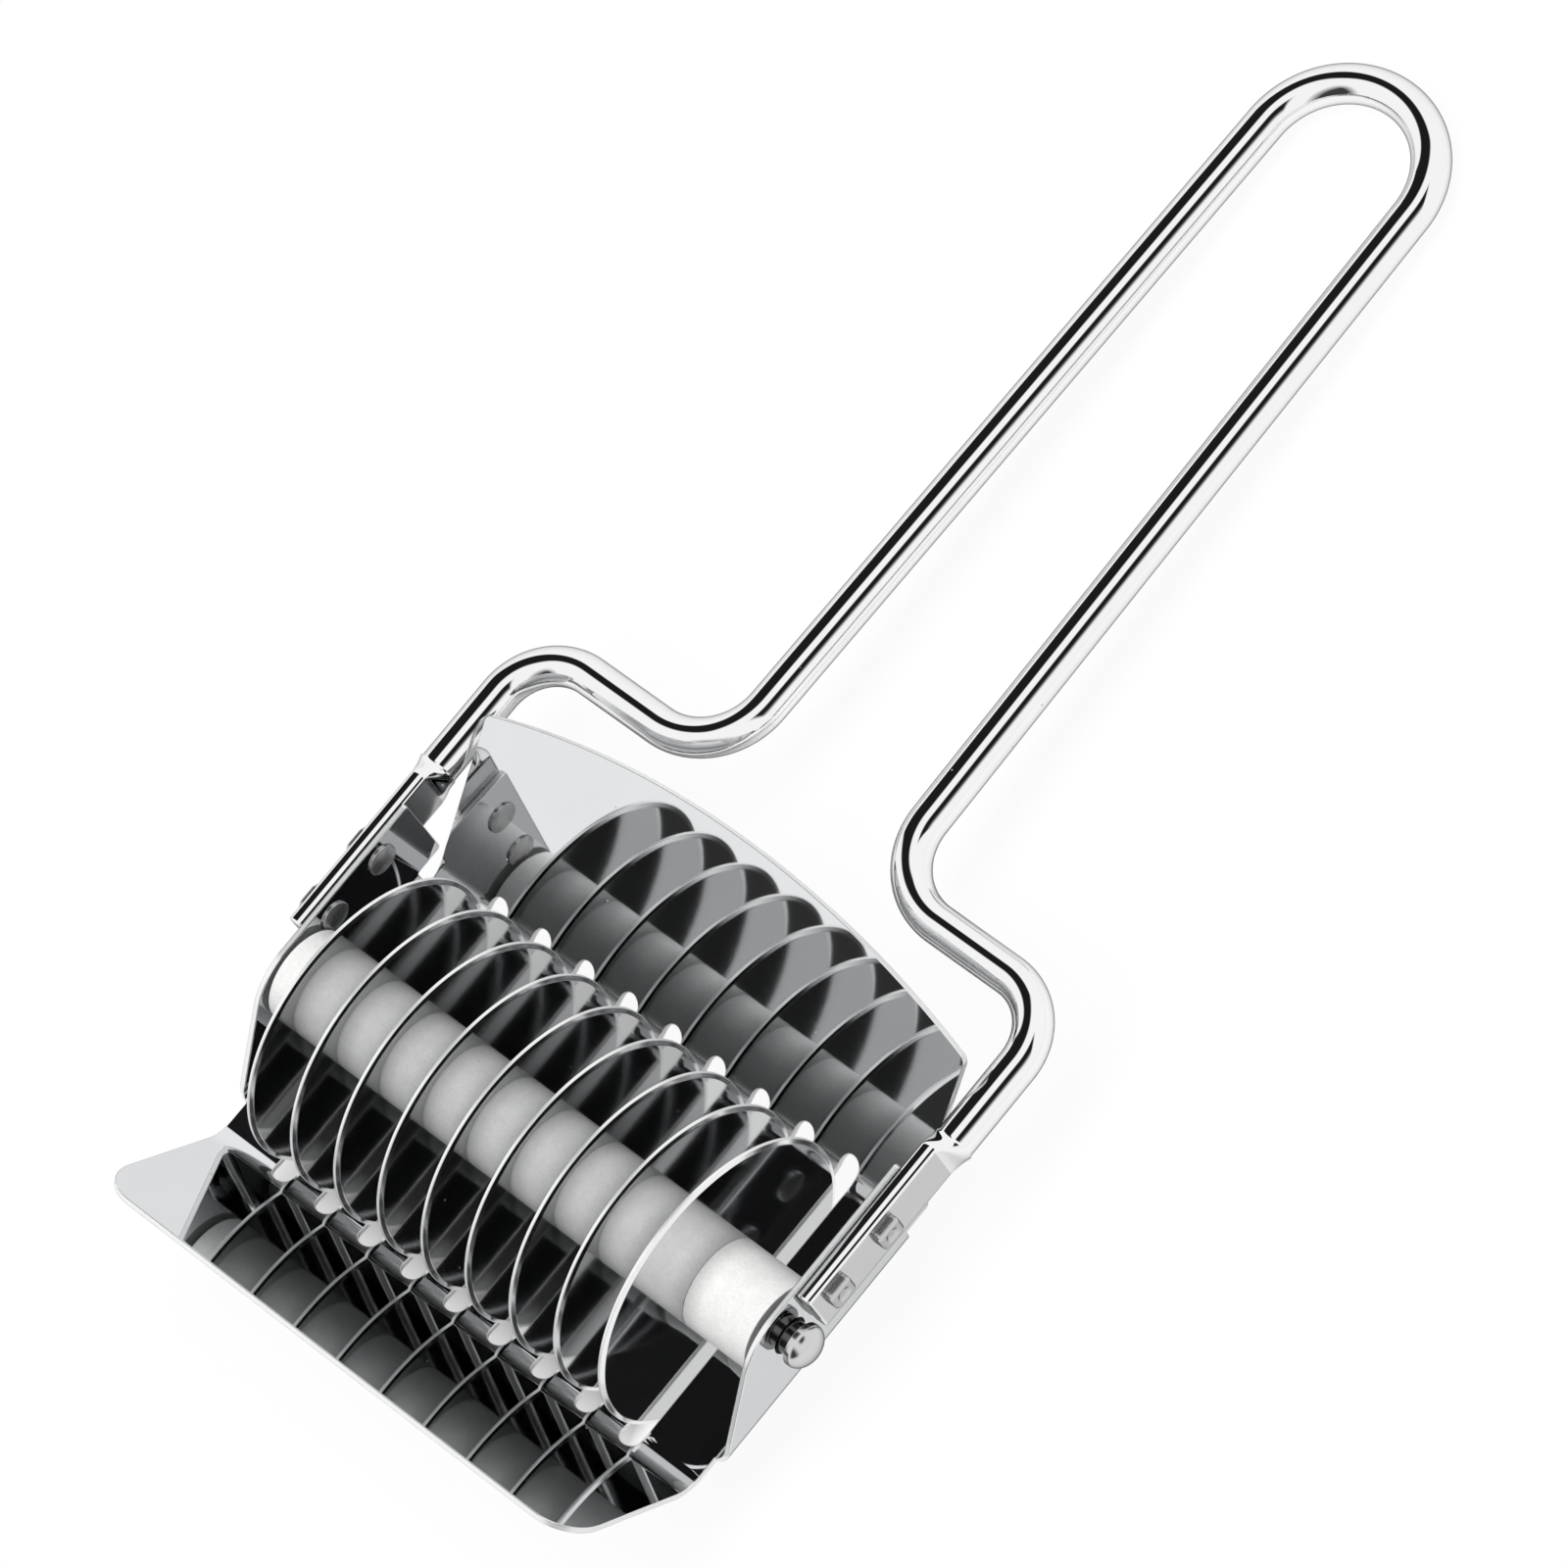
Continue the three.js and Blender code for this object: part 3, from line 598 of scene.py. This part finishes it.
plastic = bpy.data.materials.new("white_extruded_plastic")
plastic.use_nodes = True
tree = plastic.node_tree
shader = tree.nodes["Principled BSDF"]
shader.inputs["IOR"].default_value = 1.5
shader.inputs["Subsurface Weight"].default_value = 0.08
shader.inputs["Subsurface Radius"].default_value = (0.002, 0.002, 0.002)
place = add(tree, "ShaderNodeTexCoord").outputs["Object"]
mottle = add(tree, "ShaderNodeTexNoise", {
    "Vector": place, "Scale": 500.0, "Detail": 5.0, "Roughness": 0.75,
})
grain = add(tree, "ShaderNodeTexNoise", {"Vector": place, "Scale": 3200.0, "Detail": 2.0})
patchy = calc(tree, "ADD", mottle.outputs["Fac"], grain.outputs["Fac"])
tint = ramp(tree, patchy, 0.7, 1.3)
colour = blend(tree, tint, PLASTIC_DULL, PLASTIC_CLEAN)
dusted = add(tree, "ShaderNodeGroup", node_tree=DUST)
dusted.inputs["Amount"].default_value = 0.2
specked = blend(tree, dusted.outputs["Specks"], colour, PLASTIC_SPECK)
rough = ramp(tree, grain.outputs["Fac"], 0.0, 1.0, 0.38, 0.56)
bump = add(tree, "ShaderNodeBump", {
    "Height": grain.outputs["Fac"], "Strength": 0.35, "Distance": 0.02 * MM,
})
tree.links.new(specked, shader.inputs["Base Color"])
tree.links.new(rough, shader.inputs["Roughness"])
tree.links.new(bump.outputs[0], shader.inputs["Normal"])


def tube(length, outer, inner, edge, segments):
    """A tube about the X axis, centred, with its edges just broken."""
    half = length / 2
    return turned([
        (-half, inner, edge), (-half, outer, edge), (half, outer, edge), (half, inner, edge),
    ], segments, steps=3, closed=True)


gap = DISC_PITCH - DISC_THICKNESS
spacers = [
    (f"plastic_spacer_{i + 1}", f"spacer_{i + 1}", (i + 1 - DISC_COUNT / 2) * DISC_PITCH, gap)
    for i in range(DISC_COUNT - 1)
]
end_x = DISC_PLACES[-1] + DISC_THICKNESS / 2 + END_SPACER_LENGTH / 2
spacers += [
    ("plastic_end_spacer_left", "end_spacer_left", -end_x, END_SPACER_LENGTH),
    ("plastic_end_spacer_right", "end_spacer_right", end_x, END_SPACER_LENGTH),
]
for name, node, x, length in spacers:
    points, normals, faces = tube(length, SPACER_RADIUS, AXLE_HOLE, SPACER_EDGE, segments=96)
    points[:, 0] += x
    new_piece(name, points, normals, faces, plastic, "roller", [node], ROLLER_TO_FRAME)

# Cutting discs: nine flat washers blanked from hard steel sheet and polished. Their rims are ground
# to a double slope with a narrow round land, and they turn together with the spacers.

DISC_RADIUS = 19.55
RIM_DEPTH = 0.6
RIM_LAND = 0.18
BORE_EDGE = 0.08
SLOPE_ROUND = 0.45
LAND_ROUND = 0.14
SLOPE_BLEND = 0.08
LAND_DEPTH = 0.12

disc_steel = steel(
    "polished_disc_steel", (0.62, 0.625, 0.63), gloss=0.05, haze=0.06, wave_size=14, wave_depth=0.006,
    dust=0.3,
)
slope_steel = steel(
    "ground_slope_steel", (0.88, 0.88, 0.885), gloss=0.12, haze=0.1, wave_size=3, wave_depth=0.002,
)
rim_steel = steel(
    "ground_rim_steel", (0.95, 0.95, 0.95), gloss=0.3, haze=0.1, wave_size=2, wave_depth=0.002, bare=0.55,
)
half = DISC_THICKNESS / 2
disc_corners = [
    (-half, AXLE_HOLE, BORE_EDGE),
    (-half, DISC_RADIUS - RIM_DEPTH, SLOPE_ROUND),
    (-RIM_LAND, DISC_RADIUS, LAND_ROUND),
    (RIM_LAND, DISC_RADIUS, LAND_ROUND),
    (half, DISC_RADIUS - RIM_DEPTH, SLOPE_ROUND),
    (half, AXLE_HOLE, BORE_EDGE),
]
slope_start = DISC_RADIUS - RIM_DEPTH - SLOPE_BLEND
land_start = DISC_RADIUS - LAND_DEPTH
for i, x in enumerate(DISC_PLACES):
    points, normals, faces = turned(disc_corners, segments=240, steps=4, closed=True)
    radii = np.hypot(points[:, 1], points[:, 2])
    points[:, 0] += x
    disc = new_piece(
        f"cutting_disc_{i + 1}", points, normals, faces, disc_steel, "roller", [f"disc_{i + 1}"],
        ROLLER_TO_FRAME,
    )
    disc.data.materials.append(slope_steel)
    disc.data.materials.append(rim_steel)
    for polygon, face in zip(disc.data.polygons, faces):
        radius = radii[face].mean()
        polygon.material_index = int(radius > slope_start) + int(radius > land_start)

# Handle: one length of bright chromed wire. It is bent to a loop, a narrow neck and two shoulders,
# and its two ends are pressed flat where they lie on the ears.

WIRE_RADIUS = 2.48
WIRE_HEIGHT = 2.0
FLAT_HALF = 1.05
FLAT_WIDTH = 7.8
FLAT_X = 41.55
FLAT_FRONT = 3.5
FLAT_END = FLAT_FRONT + 22.8
FLAT_RUNOUT = 2.8
ARM_X = 42.05
CROSSBAR_Y = 48.6
SHOULDER_BEND = 8.1
NECK_BEND = 9.6
NECK_HALF_WIDTH = 13.1
LOOP_RADIUS = 11.5
LOOP_CENTRE_Y = 149.9
TIP_ROUND = 0.35
TIP_CENTRE_SHARE = 0.3
RUNOUT_STEPS = 16
ROUND_POWER = 2
FLAT_POWER = 12
SATIN_FACING = 0.985
SATIN_PAST = 0.6


def smooth_step(t):
    """0 to 1 with a level start and end."""
    t = min(max(t, 0), 1)
    return t * t * (3 - 2 * t)


def wire_line():
    """Stations of the wire's centre line as (x, y, heading, pressed), from the right end to the
    middle of the loop."""
    stations = []

    def straight(start, end, count):
        """Stations between start and end, without either."""
        heading = math.atan2(end[1] - start[1], end[0] - start[0])
        for step in range(1, count):
            share = step / count
            stations.append((
                start[0] + (end[0] - start[0]) * share, start[1] + (end[1] - start[1]) * share, heading, 0,
            ))

    def bend(cx, cy, radius, start, end, turn, count=40):
        """Stations round a centre, with both ends, turning left for 1 and right for -1."""
        for step in range(count + 1):
            angle = start + (end - start) * step / count
            stations.append((
                cx + radius * math.cos(angle), cy + radius * math.sin(angle), angle + turn * math.pi / 2, 0,
            ))

    for y in np.linspace(FLAT_FRONT, FLAT_END, 12):
        stations.append((FLAT_X, y, math.pi / 2, 1))
    for step in range(1, RUNOUT_STEPS + 1):
        share = step / RUNOUT_STEPS
        swing = smooth_step(share)
        x = FLAT_X + (ARM_X - FLAT_X) * swing
        stations.append((x, FLAT_END + FLAT_RUNOUT * share, math.pi / 2, 1 - swing))
    shoulder_y = CROSSBAR_Y - SHOULDER_BEND
    straight((ARM_X, FLAT_END + FLAT_RUNOUT), (ARM_X, shoulder_y), 8)
    bend(ARM_X - SHOULDER_BEND, shoulder_y, SHOULDER_BEND, 0, math.pi / 2, 1)
    neck_x, neck_y = NECK_HALF_WIDTH + NECK_BEND, CROSSBAR_Y + NECK_BEND
    straight((ARM_X - SHOULDER_BEND, CROSSBAR_Y), (neck_x, CROSSBAR_Y), 8)
    reach = math.hypot(neck_x, LOOP_CENTRE_Y - neck_y)
    lean = math.atan2(neck_x, LOOP_CENTRE_Y - neck_y) - math.asin((NECK_BEND + LOOP_RADIUS) / reach)
    bend(neck_x, neck_y, NECK_BEND, -math.pi / 2, -math.pi + lean, -1)
    straight(
        (neck_x - NECK_BEND * math.cos(lean), neck_y - NECK_BEND * math.sin(lean)),
        (LOOP_RADIUS * math.cos(lean), LOOP_CENTRE_Y + LOOP_RADIUS * math.sin(lean)), 40,
    )
    bend(0, LOOP_CENTRE_Y, LOOP_RADIUS, lean, math.pi / 2, 1, 56)
    return stations


def wire_section(pressed, segments):
    """The wire's outline across and up, round or pressed flat with rounded sides."""
    angles = np.linspace(0, math.tau, segments, endpoint=False)
    across = WIRE_RADIUS * np.cos(angles)
    up = WIRE_RADIUS * np.sin(angles) * (1 + (FLAT_WIDTH / 2 / WIRE_RADIUS - 1) * pressed)
    limit = WIRE_RADIUS + (FLAT_HALF - WIRE_RADIUS) * pressed
    if pressed > 0:
        power = ROUND_POWER + (FLAT_POWER - ROUND_POWER) * pressed
        across /= (1 + np.abs(across / limit) ** power) ** (1 / power)
        across *= limit / np.abs(across).max()
    return across, up


def bent_wire(segments=72):
    """The whole handle as points, normals and faces, from the right tip round to the left one."""
    half = wire_line()
    line = half + [(-x, y, -heading, pressed) for x, y, heading, pressed in reversed(half[:-1])]
    rings = []
    for x, y, heading, pressed in line:
        across, up = wire_section(pressed, segments)
        side = np.array([math.sin(heading), -math.cos(heading), 0])
        ring = np.array([x, y, WIRE_HEIGHT]) + across[:, None] * side + up[:, None] * np.array([0, 0, 1])
        rings.append(ring)
    grid = np.array(rings)
    around = np.roll(grid, -1, axis=1) - np.roll(grid, 1, axis=1)
    along = np.gradient(grid, axis=0)
    normals = np.cross(along, around)
    normals /= np.linalg.norm(normals, axis=2, keepdims=True)
    # The cut ends, with their edges broken, ring by ring to the middle
    forward = np.array([0, -1, 0])
    tips = []
    for end in (0, -1):
        ring, outward = rings[end], normals[end] * (1, 0, 1)
        outward /= np.linalg.norm(outward, axis=1, keepdims=True)
        centre = ring.mean(axis=0)
        tip, tip_normals = [], []
        for angle in np.linspace(0, math.pi / 2, 6):
            inset = TIP_ROUND * (1 - math.cos(angle))
            tip.append(ring - outward * inset + forward * TIP_ROUND * (math.sin(angle) - 1))
            tip_normals.append(outward * math.cos(angle) + forward * math.sin(angle))
        tip.append(centre + (tip[-1] - centre) * TIP_CENTRE_SHARE)
        tip_normals.append(np.tile(forward, (segments, 1)))
        tips.append((tip, tip_normals))
    (first, first_normals), (last, last_normals) = tips
    grid = np.concatenate([first[::-1], grid[1:-1], last])
    normals = np.concatenate([first_normals[::-1], normals[1:-1], last_normals])
    count = len(grid)
    faces = []
    for i in range(count - 1):
        for j in range(segments):
            k = (j + 1) % segments
            faces.append([i * segments + j, (i + 1) * segments + j, (i + 1) * segments + k, i * segments + k])
    faces.append(list(range(segments)))
    faces.append([(count - 1) * segments + j for j in range(segments)][::-1])
    return grid.reshape(-1, 3), normals.reshape(-1, 3), faces


wire_steel = steel(
    "bright_chromed_wire", (0.93, 0.93, 0.935), gloss=0.02, haze=0.05, wave_size=9, wave_depth=0.006,
    dust=0.15, edge=0.25,
)
pressed_steel = steel(
    "pressed_flat_steel", (0.74, 0.74, 0.745), gloss=0.16, haze=0.15, wave_size=5, wave_depth=0.008,
    hairline_angle=0.2, edge=0.15,
)
points, normals, faces = bent_wire()
wire = new_piece("wire_handle", points, normals, faces, wire_steel, "frame", ["handle_wire"])
wire.data.materials.append(pressed_steel)
sideways = np.abs(normals[:, 0]) / np.linalg.norm(normals, axis=1)
for polygon, face in zip(wire.data.polygons, faces):
    flat = sideways[face].min() > SATIN_FACING and points[face][:, 1].mean() < FLAT_END + SATIN_PAST
    polygon.material_index = int(flat)

# Rivets: two soft steel pins through each ear and pressed wire end. Their round heads lie inside
# the ear, and their tails are squeezed square outside the wire.

RIVET_RADIUS = 1.3
RIVET_HEAD_RADIUS = 2.1
RIVET_HEAD_HEIGHT = 0.3
RIVET_HEAD_ROUND = 0.13
RIVET_HEAD_EDGE = 0.02
TAIL_SEAT = 42.6
TAIL_HEIGHT = 1.15
TAIL_HALF_WIDTH = 1.78
TAIL_EDGE = 0.1
TAIL_BEVEL = 0.3
TAIL_BEVEL_ROUND = 0.2
TAIL_TOP_HALF_WIDTH = 1.45
TAIL_TOP_ROUND = 0.15
TAIL_SQUARENESS = 7
SQUARING_RUN = 0.7
TAIL_MARGIN = 0.01
NO_LENGTH = 1e-9
NO_AREA = 1e-12
DISH_RADIUS = 1.0
DISH_RIM_ROUND = 0.2
DISH_FLOOR_RADIUS = 0.6
DISH_FLOOR_ROUND = 0.3
DISH_DEPTH = 0.25

rivet_steel = steel(
    "squeezed_rivet_steel", (0.60, 0.60, 0.60), gloss=0.2, haze=0.25, wave_size=1.5, wave_depth=0.02,
    edge=0.2,
)


def face_normals(points, guide, faces):
    """Normals of the faces round each point, kept on the side that the guide normals give."""
    summed = np.zeros_like(points)
    for face in faces:
        corners = points[face]
        spokes = corners[1:] - corners[0]
        area = np.cross(spokes[:-1], spokes[1:]).sum(axis=0)
        length = np.linalg.norm(area)
        if length > NO_AREA:
            summed[face] += area / length
    summed *= np.sign((summed * guide).sum(axis=1, keepdims=True) + NO_LENGTH)
    lengths = np.linalg.norm(summed, axis=1, keepdims=True)
    return np.where(lengths > NO_LENGTH, summed / np.maximum(lengths, NO_LENGTH), guide)


def rivet_mesh(segments=96):
    """A rivet for the right ear, with a tail that a press has squared and dished."""
    head_top = EAR_INNER_X - RIVET_HEAD_HEIGHT
    tail_top = TAIL_SEAT + TAIL_HEIGHT
    dish_x = tail_top - DISH_DEPTH
    points, normals, faces = turned([
        (head_top, 0, 0),
        (head_top, RIVET_HEAD_RADIUS, RIVET_HEAD_ROUND),
        (EAR_INNER_X, RIVET_HEAD_RADIUS, RIVET_HEAD_EDGE),
        (EAR_INNER_X, RIVET_RADIUS, SEAT_FILLET),
        (TAIL_SEAT, RIVET_RADIUS, SEAT_FILLET),
        (TAIL_SEAT, TAIL_HALF_WIDTH, TAIL_EDGE),
        (tail_top - TAIL_BEVEL, TAIL_HALF_WIDTH, TAIL_BEVEL_ROUND),
        (tail_top, TAIL_TOP_HALF_WIDTH, TAIL_TOP_ROUND),
        (tail_top, DISH_RADIUS, DISH_RIM_ROUND),
        (dish_x, DISH_FLOOR_RADIUS, DISH_FLOOR_ROUND),
        (dish_x, 0, 0),
    ], segments)
    # Each ring of the tail grows from round to square with its own radius
    radius = np.hypot(points[:, 1], points[:, 2])
    angle = np.arctan2(points[:, 2], points[:, 1])
    power = TAIL_SQUARENESS
    squared = (np.abs(np.cos(angle)) ** power + np.abs(np.sin(angle)) ** power) ** (-1 / power)
    on_tail = points[:, 0] > TAIL_SEAT - TAIL_MARGIN
    share = np.clip((radius - DISH_FLOOR_RADIUS) / SQUARING_RUN, 0, 1) * on_tail
    points[:, 1:] *= (1 + (squared - 1) * share)[:, None]
    return points, face_normals(points, normals, faces), faces


for side_name, side in (("left", -1), ("right", 1)):
    for place_name, (y, z) in zip(("front", "rear"), RIVET_PLACES):
        points, normals, faces = rivet_mesh()
        if side < 0:
            points = points * (-1, 1, 1)
            normals = normals * (-1, 1, 1)
            faces = [face[::-1] for face in faces]
        points = points + (0, y, z)
        new_piece(
            f"handle_rivet_{side_name}_{place_name}", points, normals, faces, rivet_steel, "frame",
            [f"rivet_{side_name}_{place_name}"],
        )

# Studio: a white floor inside a light tent. Two dark gaps in the tent's roof, left and right of
# its middle panel, and a dark corner at the front right give polished steel the black it shows.

# Where the shade painted on the floor under the tool starts to fade and where it is gone, in metres from the
# middle or from the axle. On the right it is gone short of disc 9.
SHADE_SIDES = (0.026, 0.042)
SHADE_RIGHT = (0.0205, 0.0235)
SHADE_FRONT = (-0.015, -0.027)
SHADE_REAR = (0.002, 0.014)
FLOOR_WHITE = (0.94, 0.94, 0.94, 1)
# The floor's colour inside its painted shade under the tool
FLOOR_PAINTED_SHADE = (0.12, 0.12, 0.12, 1)
FLOOR_GLOW = 0.93
FLOOR_HALF = 4

# How much of the floor's glow steel mirrors, with more around disc 9 and less under and behind the
# rear guard: a painted light and a painted shade that show only in reflections. A band is its low and high
# end and how soft they are.
MIRRORED_OPEN = 0.67
MIRRORED_BESIDE = 0.33
MIRRORED_BEHIND = -0.62
BESIDE_X = (0.024, 0.038, 0.0015)
BEHIND_X = (-0.047, 0.047, 0.007)
BEHIND_Y = (0.026, 0.061, 0.004, 0.009)

# The roof's gaps as bands of run over height from the tool, and where the dark corner begins and
# is full, as parts of a direction
GAP_LEFT = (-3.1, -0.24, 0.06)
GAP_RIGHT = (0.36, 1.25, 0.06, 0.45)
GAP_SPAN = (0.0, 0.75, 0.06)
CORNER_RIGHT = (0.0, 0.2)
CORNER_FRONT = (-0.45, -0.7)
GAP_COLOUR = (0.012, 0.012, 0.013, 1)
CORNER_COLOUR = (0.05, 0.05, 0.05, 1)
TENT_LIGHT = (0.22, 0.22, 0.22, 1)
LOWEST_HEIGHT = 0.02
WHITE = (1, 1, 1, 1)


def between(tree, value, low, high, soft, soft_high=None):
    """1 where value lies between low and high, with soft ends."""
    soft_high = soft_high or soft
    rise = ramp(tree, value, low - soft, low + soft, interpolation_type="SMOOTHSTEP")
    fall = ramp(tree, value, high - soft_high, high + soft_high, 1.0, 0.0, interpolation_type="SMOOTHSTEP")
    return calc(tree, "MULTIPLY", rise, fall)


floor = bpy.data.meshes.new("floor")
floor.from_pydata([
    (x * FLOOR_HALF, y * FLOOR_HALF, 0) for x, y in ((-1, -1), (1, -1), (1, 1), (-1, 1))
], [], [(0, 1, 2, 3)])
floor = bpy.data.objects.new("studio_floor", floor)
bpy.context.scene.collection.objects.link(floor)
paper = bpy.data.materials.new("white_paper_floor")
paper.use_nodes = True
tree = paper.node_tree
shader = tree.nodes["Principled BSDF"]
shader.inputs["Roughness"].default_value = 0.9
shader.inputs["Specular IOR Level"].default_value = 0.0
spot = add(tree, "ShaderNodeSeparateXYZ", {0: add(tree, "ShaderNodeTexCoord").outputs["Object"]})
from_axle = calc(tree, "SUBTRACT", spot.outputs["Y"], AXLE_AT.y)
sides = ramp(tree, calc(tree, "ABSOLUTE", spot.outputs["X"]), *SHADE_SIDES)
right = ramp(tree, spot.outputs["X"], *SHADE_RIGHT)
front, rear = ramp(tree, from_axle, *SHADE_FRONT), ramp(tree, from_axle, *SHADE_REAR)
# 1 where the floor lies outside the shade painted under the tool
clear = calc(tree, "MAXIMUM", calc(tree, "MAXIMUM", sides, right), calc(tree, "MAXIMUM", front, rear))
# Painted light in the floor's reflections beside disc 9, and painted shade in them behind the rear guard
beside = between(tree, spot.outputs["X"], *BESIDE_X)
behind = calc(
    tree, "MULTIPLY", between(tree, spot.outputs["X"], *BEHIND_X), between(tree, from_axle, *BEHIND_Y),
)
open_share = calc(tree, "MULTIPLY_ADD", beside, MIRRORED_BESIDE, MIRRORED_OPEN)
open_share = calc(tree, "MULTIPLY_ADD", behind, MIRRORED_BEHIND, open_share)
seen = add(tree, "ShaderNodeLightPath")
mirrored = calc(tree, "MULTIPLY", seen.outputs["Is Glossy Ray"], open_share)
direct = calc(tree, "MAXIMUM", seen.outputs["Is Camera Ray"], mirrored)
# Under the tool the floor's glow fades out: painted shade
share = calc(tree, "MULTIPLY", direct, calc(tree, "MULTIPLY", clear, FLOOR_GLOW))
white = add(tree, "ShaderNodeEmission", {"Color": WHITE, "Strength": 1.0})
mixed = add(tree, "ShaderNodeMixShader", {0: share, 1: shader.outputs[0], 2: white.outputs[0]})
# Under the tool the floor's colour is painted dark: painted shade
tree.links.new(blend(tree, clear, FLOOR_PAINTED_SHADE, FLOOR_WHITE), shader.inputs["Base Color"])
tree.links.new(mixed.outputs[0], tree.nodes["Material Output"].inputs["Surface"])
floor.data.materials.append(paper)

world = bpy.data.worlds.new("light_tent")
bpy.context.scene.world = world
world.use_nodes = True
tree = world.node_tree
background = tree.nodes["Background"]
direction = add(tree, "ShaderNodeSeparateXYZ", {0: add(tree, "ShaderNodeTexCoord").outputs["Generated"]})
height = calc(tree, "MAXIMUM", direction.outputs["Z"], LOWEST_HEIGHT)
across = calc(tree, "DIVIDE", direction.outputs["X"], height)
along = calc(tree, "DIVIDE", direction.outputs["Y"], height)
gaps = calc(tree, "ADD", between(tree, across, *GAP_LEFT), between(tree, across, *GAP_RIGHT))
dark = calc(tree, "MULTIPLY", gaps, between(tree, along, *GAP_SPAN))
to_right = ramp(tree, direction.outputs["X"], *CORNER_RIGHT)
to_front = ramp(tree, direction.outputs["Y"], *CORNER_FRONT)
tent = blend(tree, calc(tree, "MULTIPLY", to_right, to_front), WHITE, CORNER_COLOUR)
seen = add(tree, "ShaderNodeLightPath")
lit = blend(tree, seen.outputs["Is Glossy Ray"], TENT_LIGHT, blend(tree, dark, tent, GAP_COLOUR))
tree.links.new(blend(tree, seen.outputs["Is Camera Ray"], lit, WHITE), background.inputs["Color"])
background.inputs["Strength"].default_value = 1.0

# A long soft lamp over the roof's middle, in line with the discs so that it reaches between them
LAMP_WIDTH = 0.55
LAMP_LENGTH = 1.6
LAMP_POWER = 24.0
LAMP_AT = (0.0, -0.15, 1.5)
lamp_data = bpy.data.lights.new("roof_panel", "AREA")
lamp_data.shape = "RECTANGLE"
lamp_data.size = LAMP_WIDTH
lamp_data.size_y = LAMP_LENGTH
lamp_data.energy = LAMP_POWER
lamp = bpy.data.objects.new("roof_panel", lamp_data)
lamp.location = LAMP_AT
lamp.visible_glossy = False
bpy.context.scene.collection.objects.link(lamp)

# The camera looks down on the tool from its right, turned so that the handle points up and right
CAMERA_AT = (0.5500, -0.04937, 1.0701)
CAMERA_BACK = Vector((0.46535606, -0.03042, 0.88461))
CAMERA_UP = Vector((-0.51325126, 0.80496, 0.29769))
CAMERA_LENS = 233.06
back = CAMERA_BACK.normalized()
up = (CAMERA_UP - back * CAMERA_UP.dot(back)).normalized()
right = up.cross(back)
camera_data = bpy.data.cameras.new("camera")
camera_data.lens = CAMERA_LENS
camera_data.sensor_width = 36.0
camera_data.clip_start = 0.01
camera_data.clip_end = 50.0
camera = bpy.data.objects.new("camera", camera_data)
camera.matrix_world = Matrix.Translation(CAMERA_AT) @ Matrix((right, up, back)).transposed().to_4x4()
bpy.context.scene.collection.objects.link(camera)
bpy.context.scene.camera = camera
bpy.context.scene.view_settings.view_transform = "Standard"
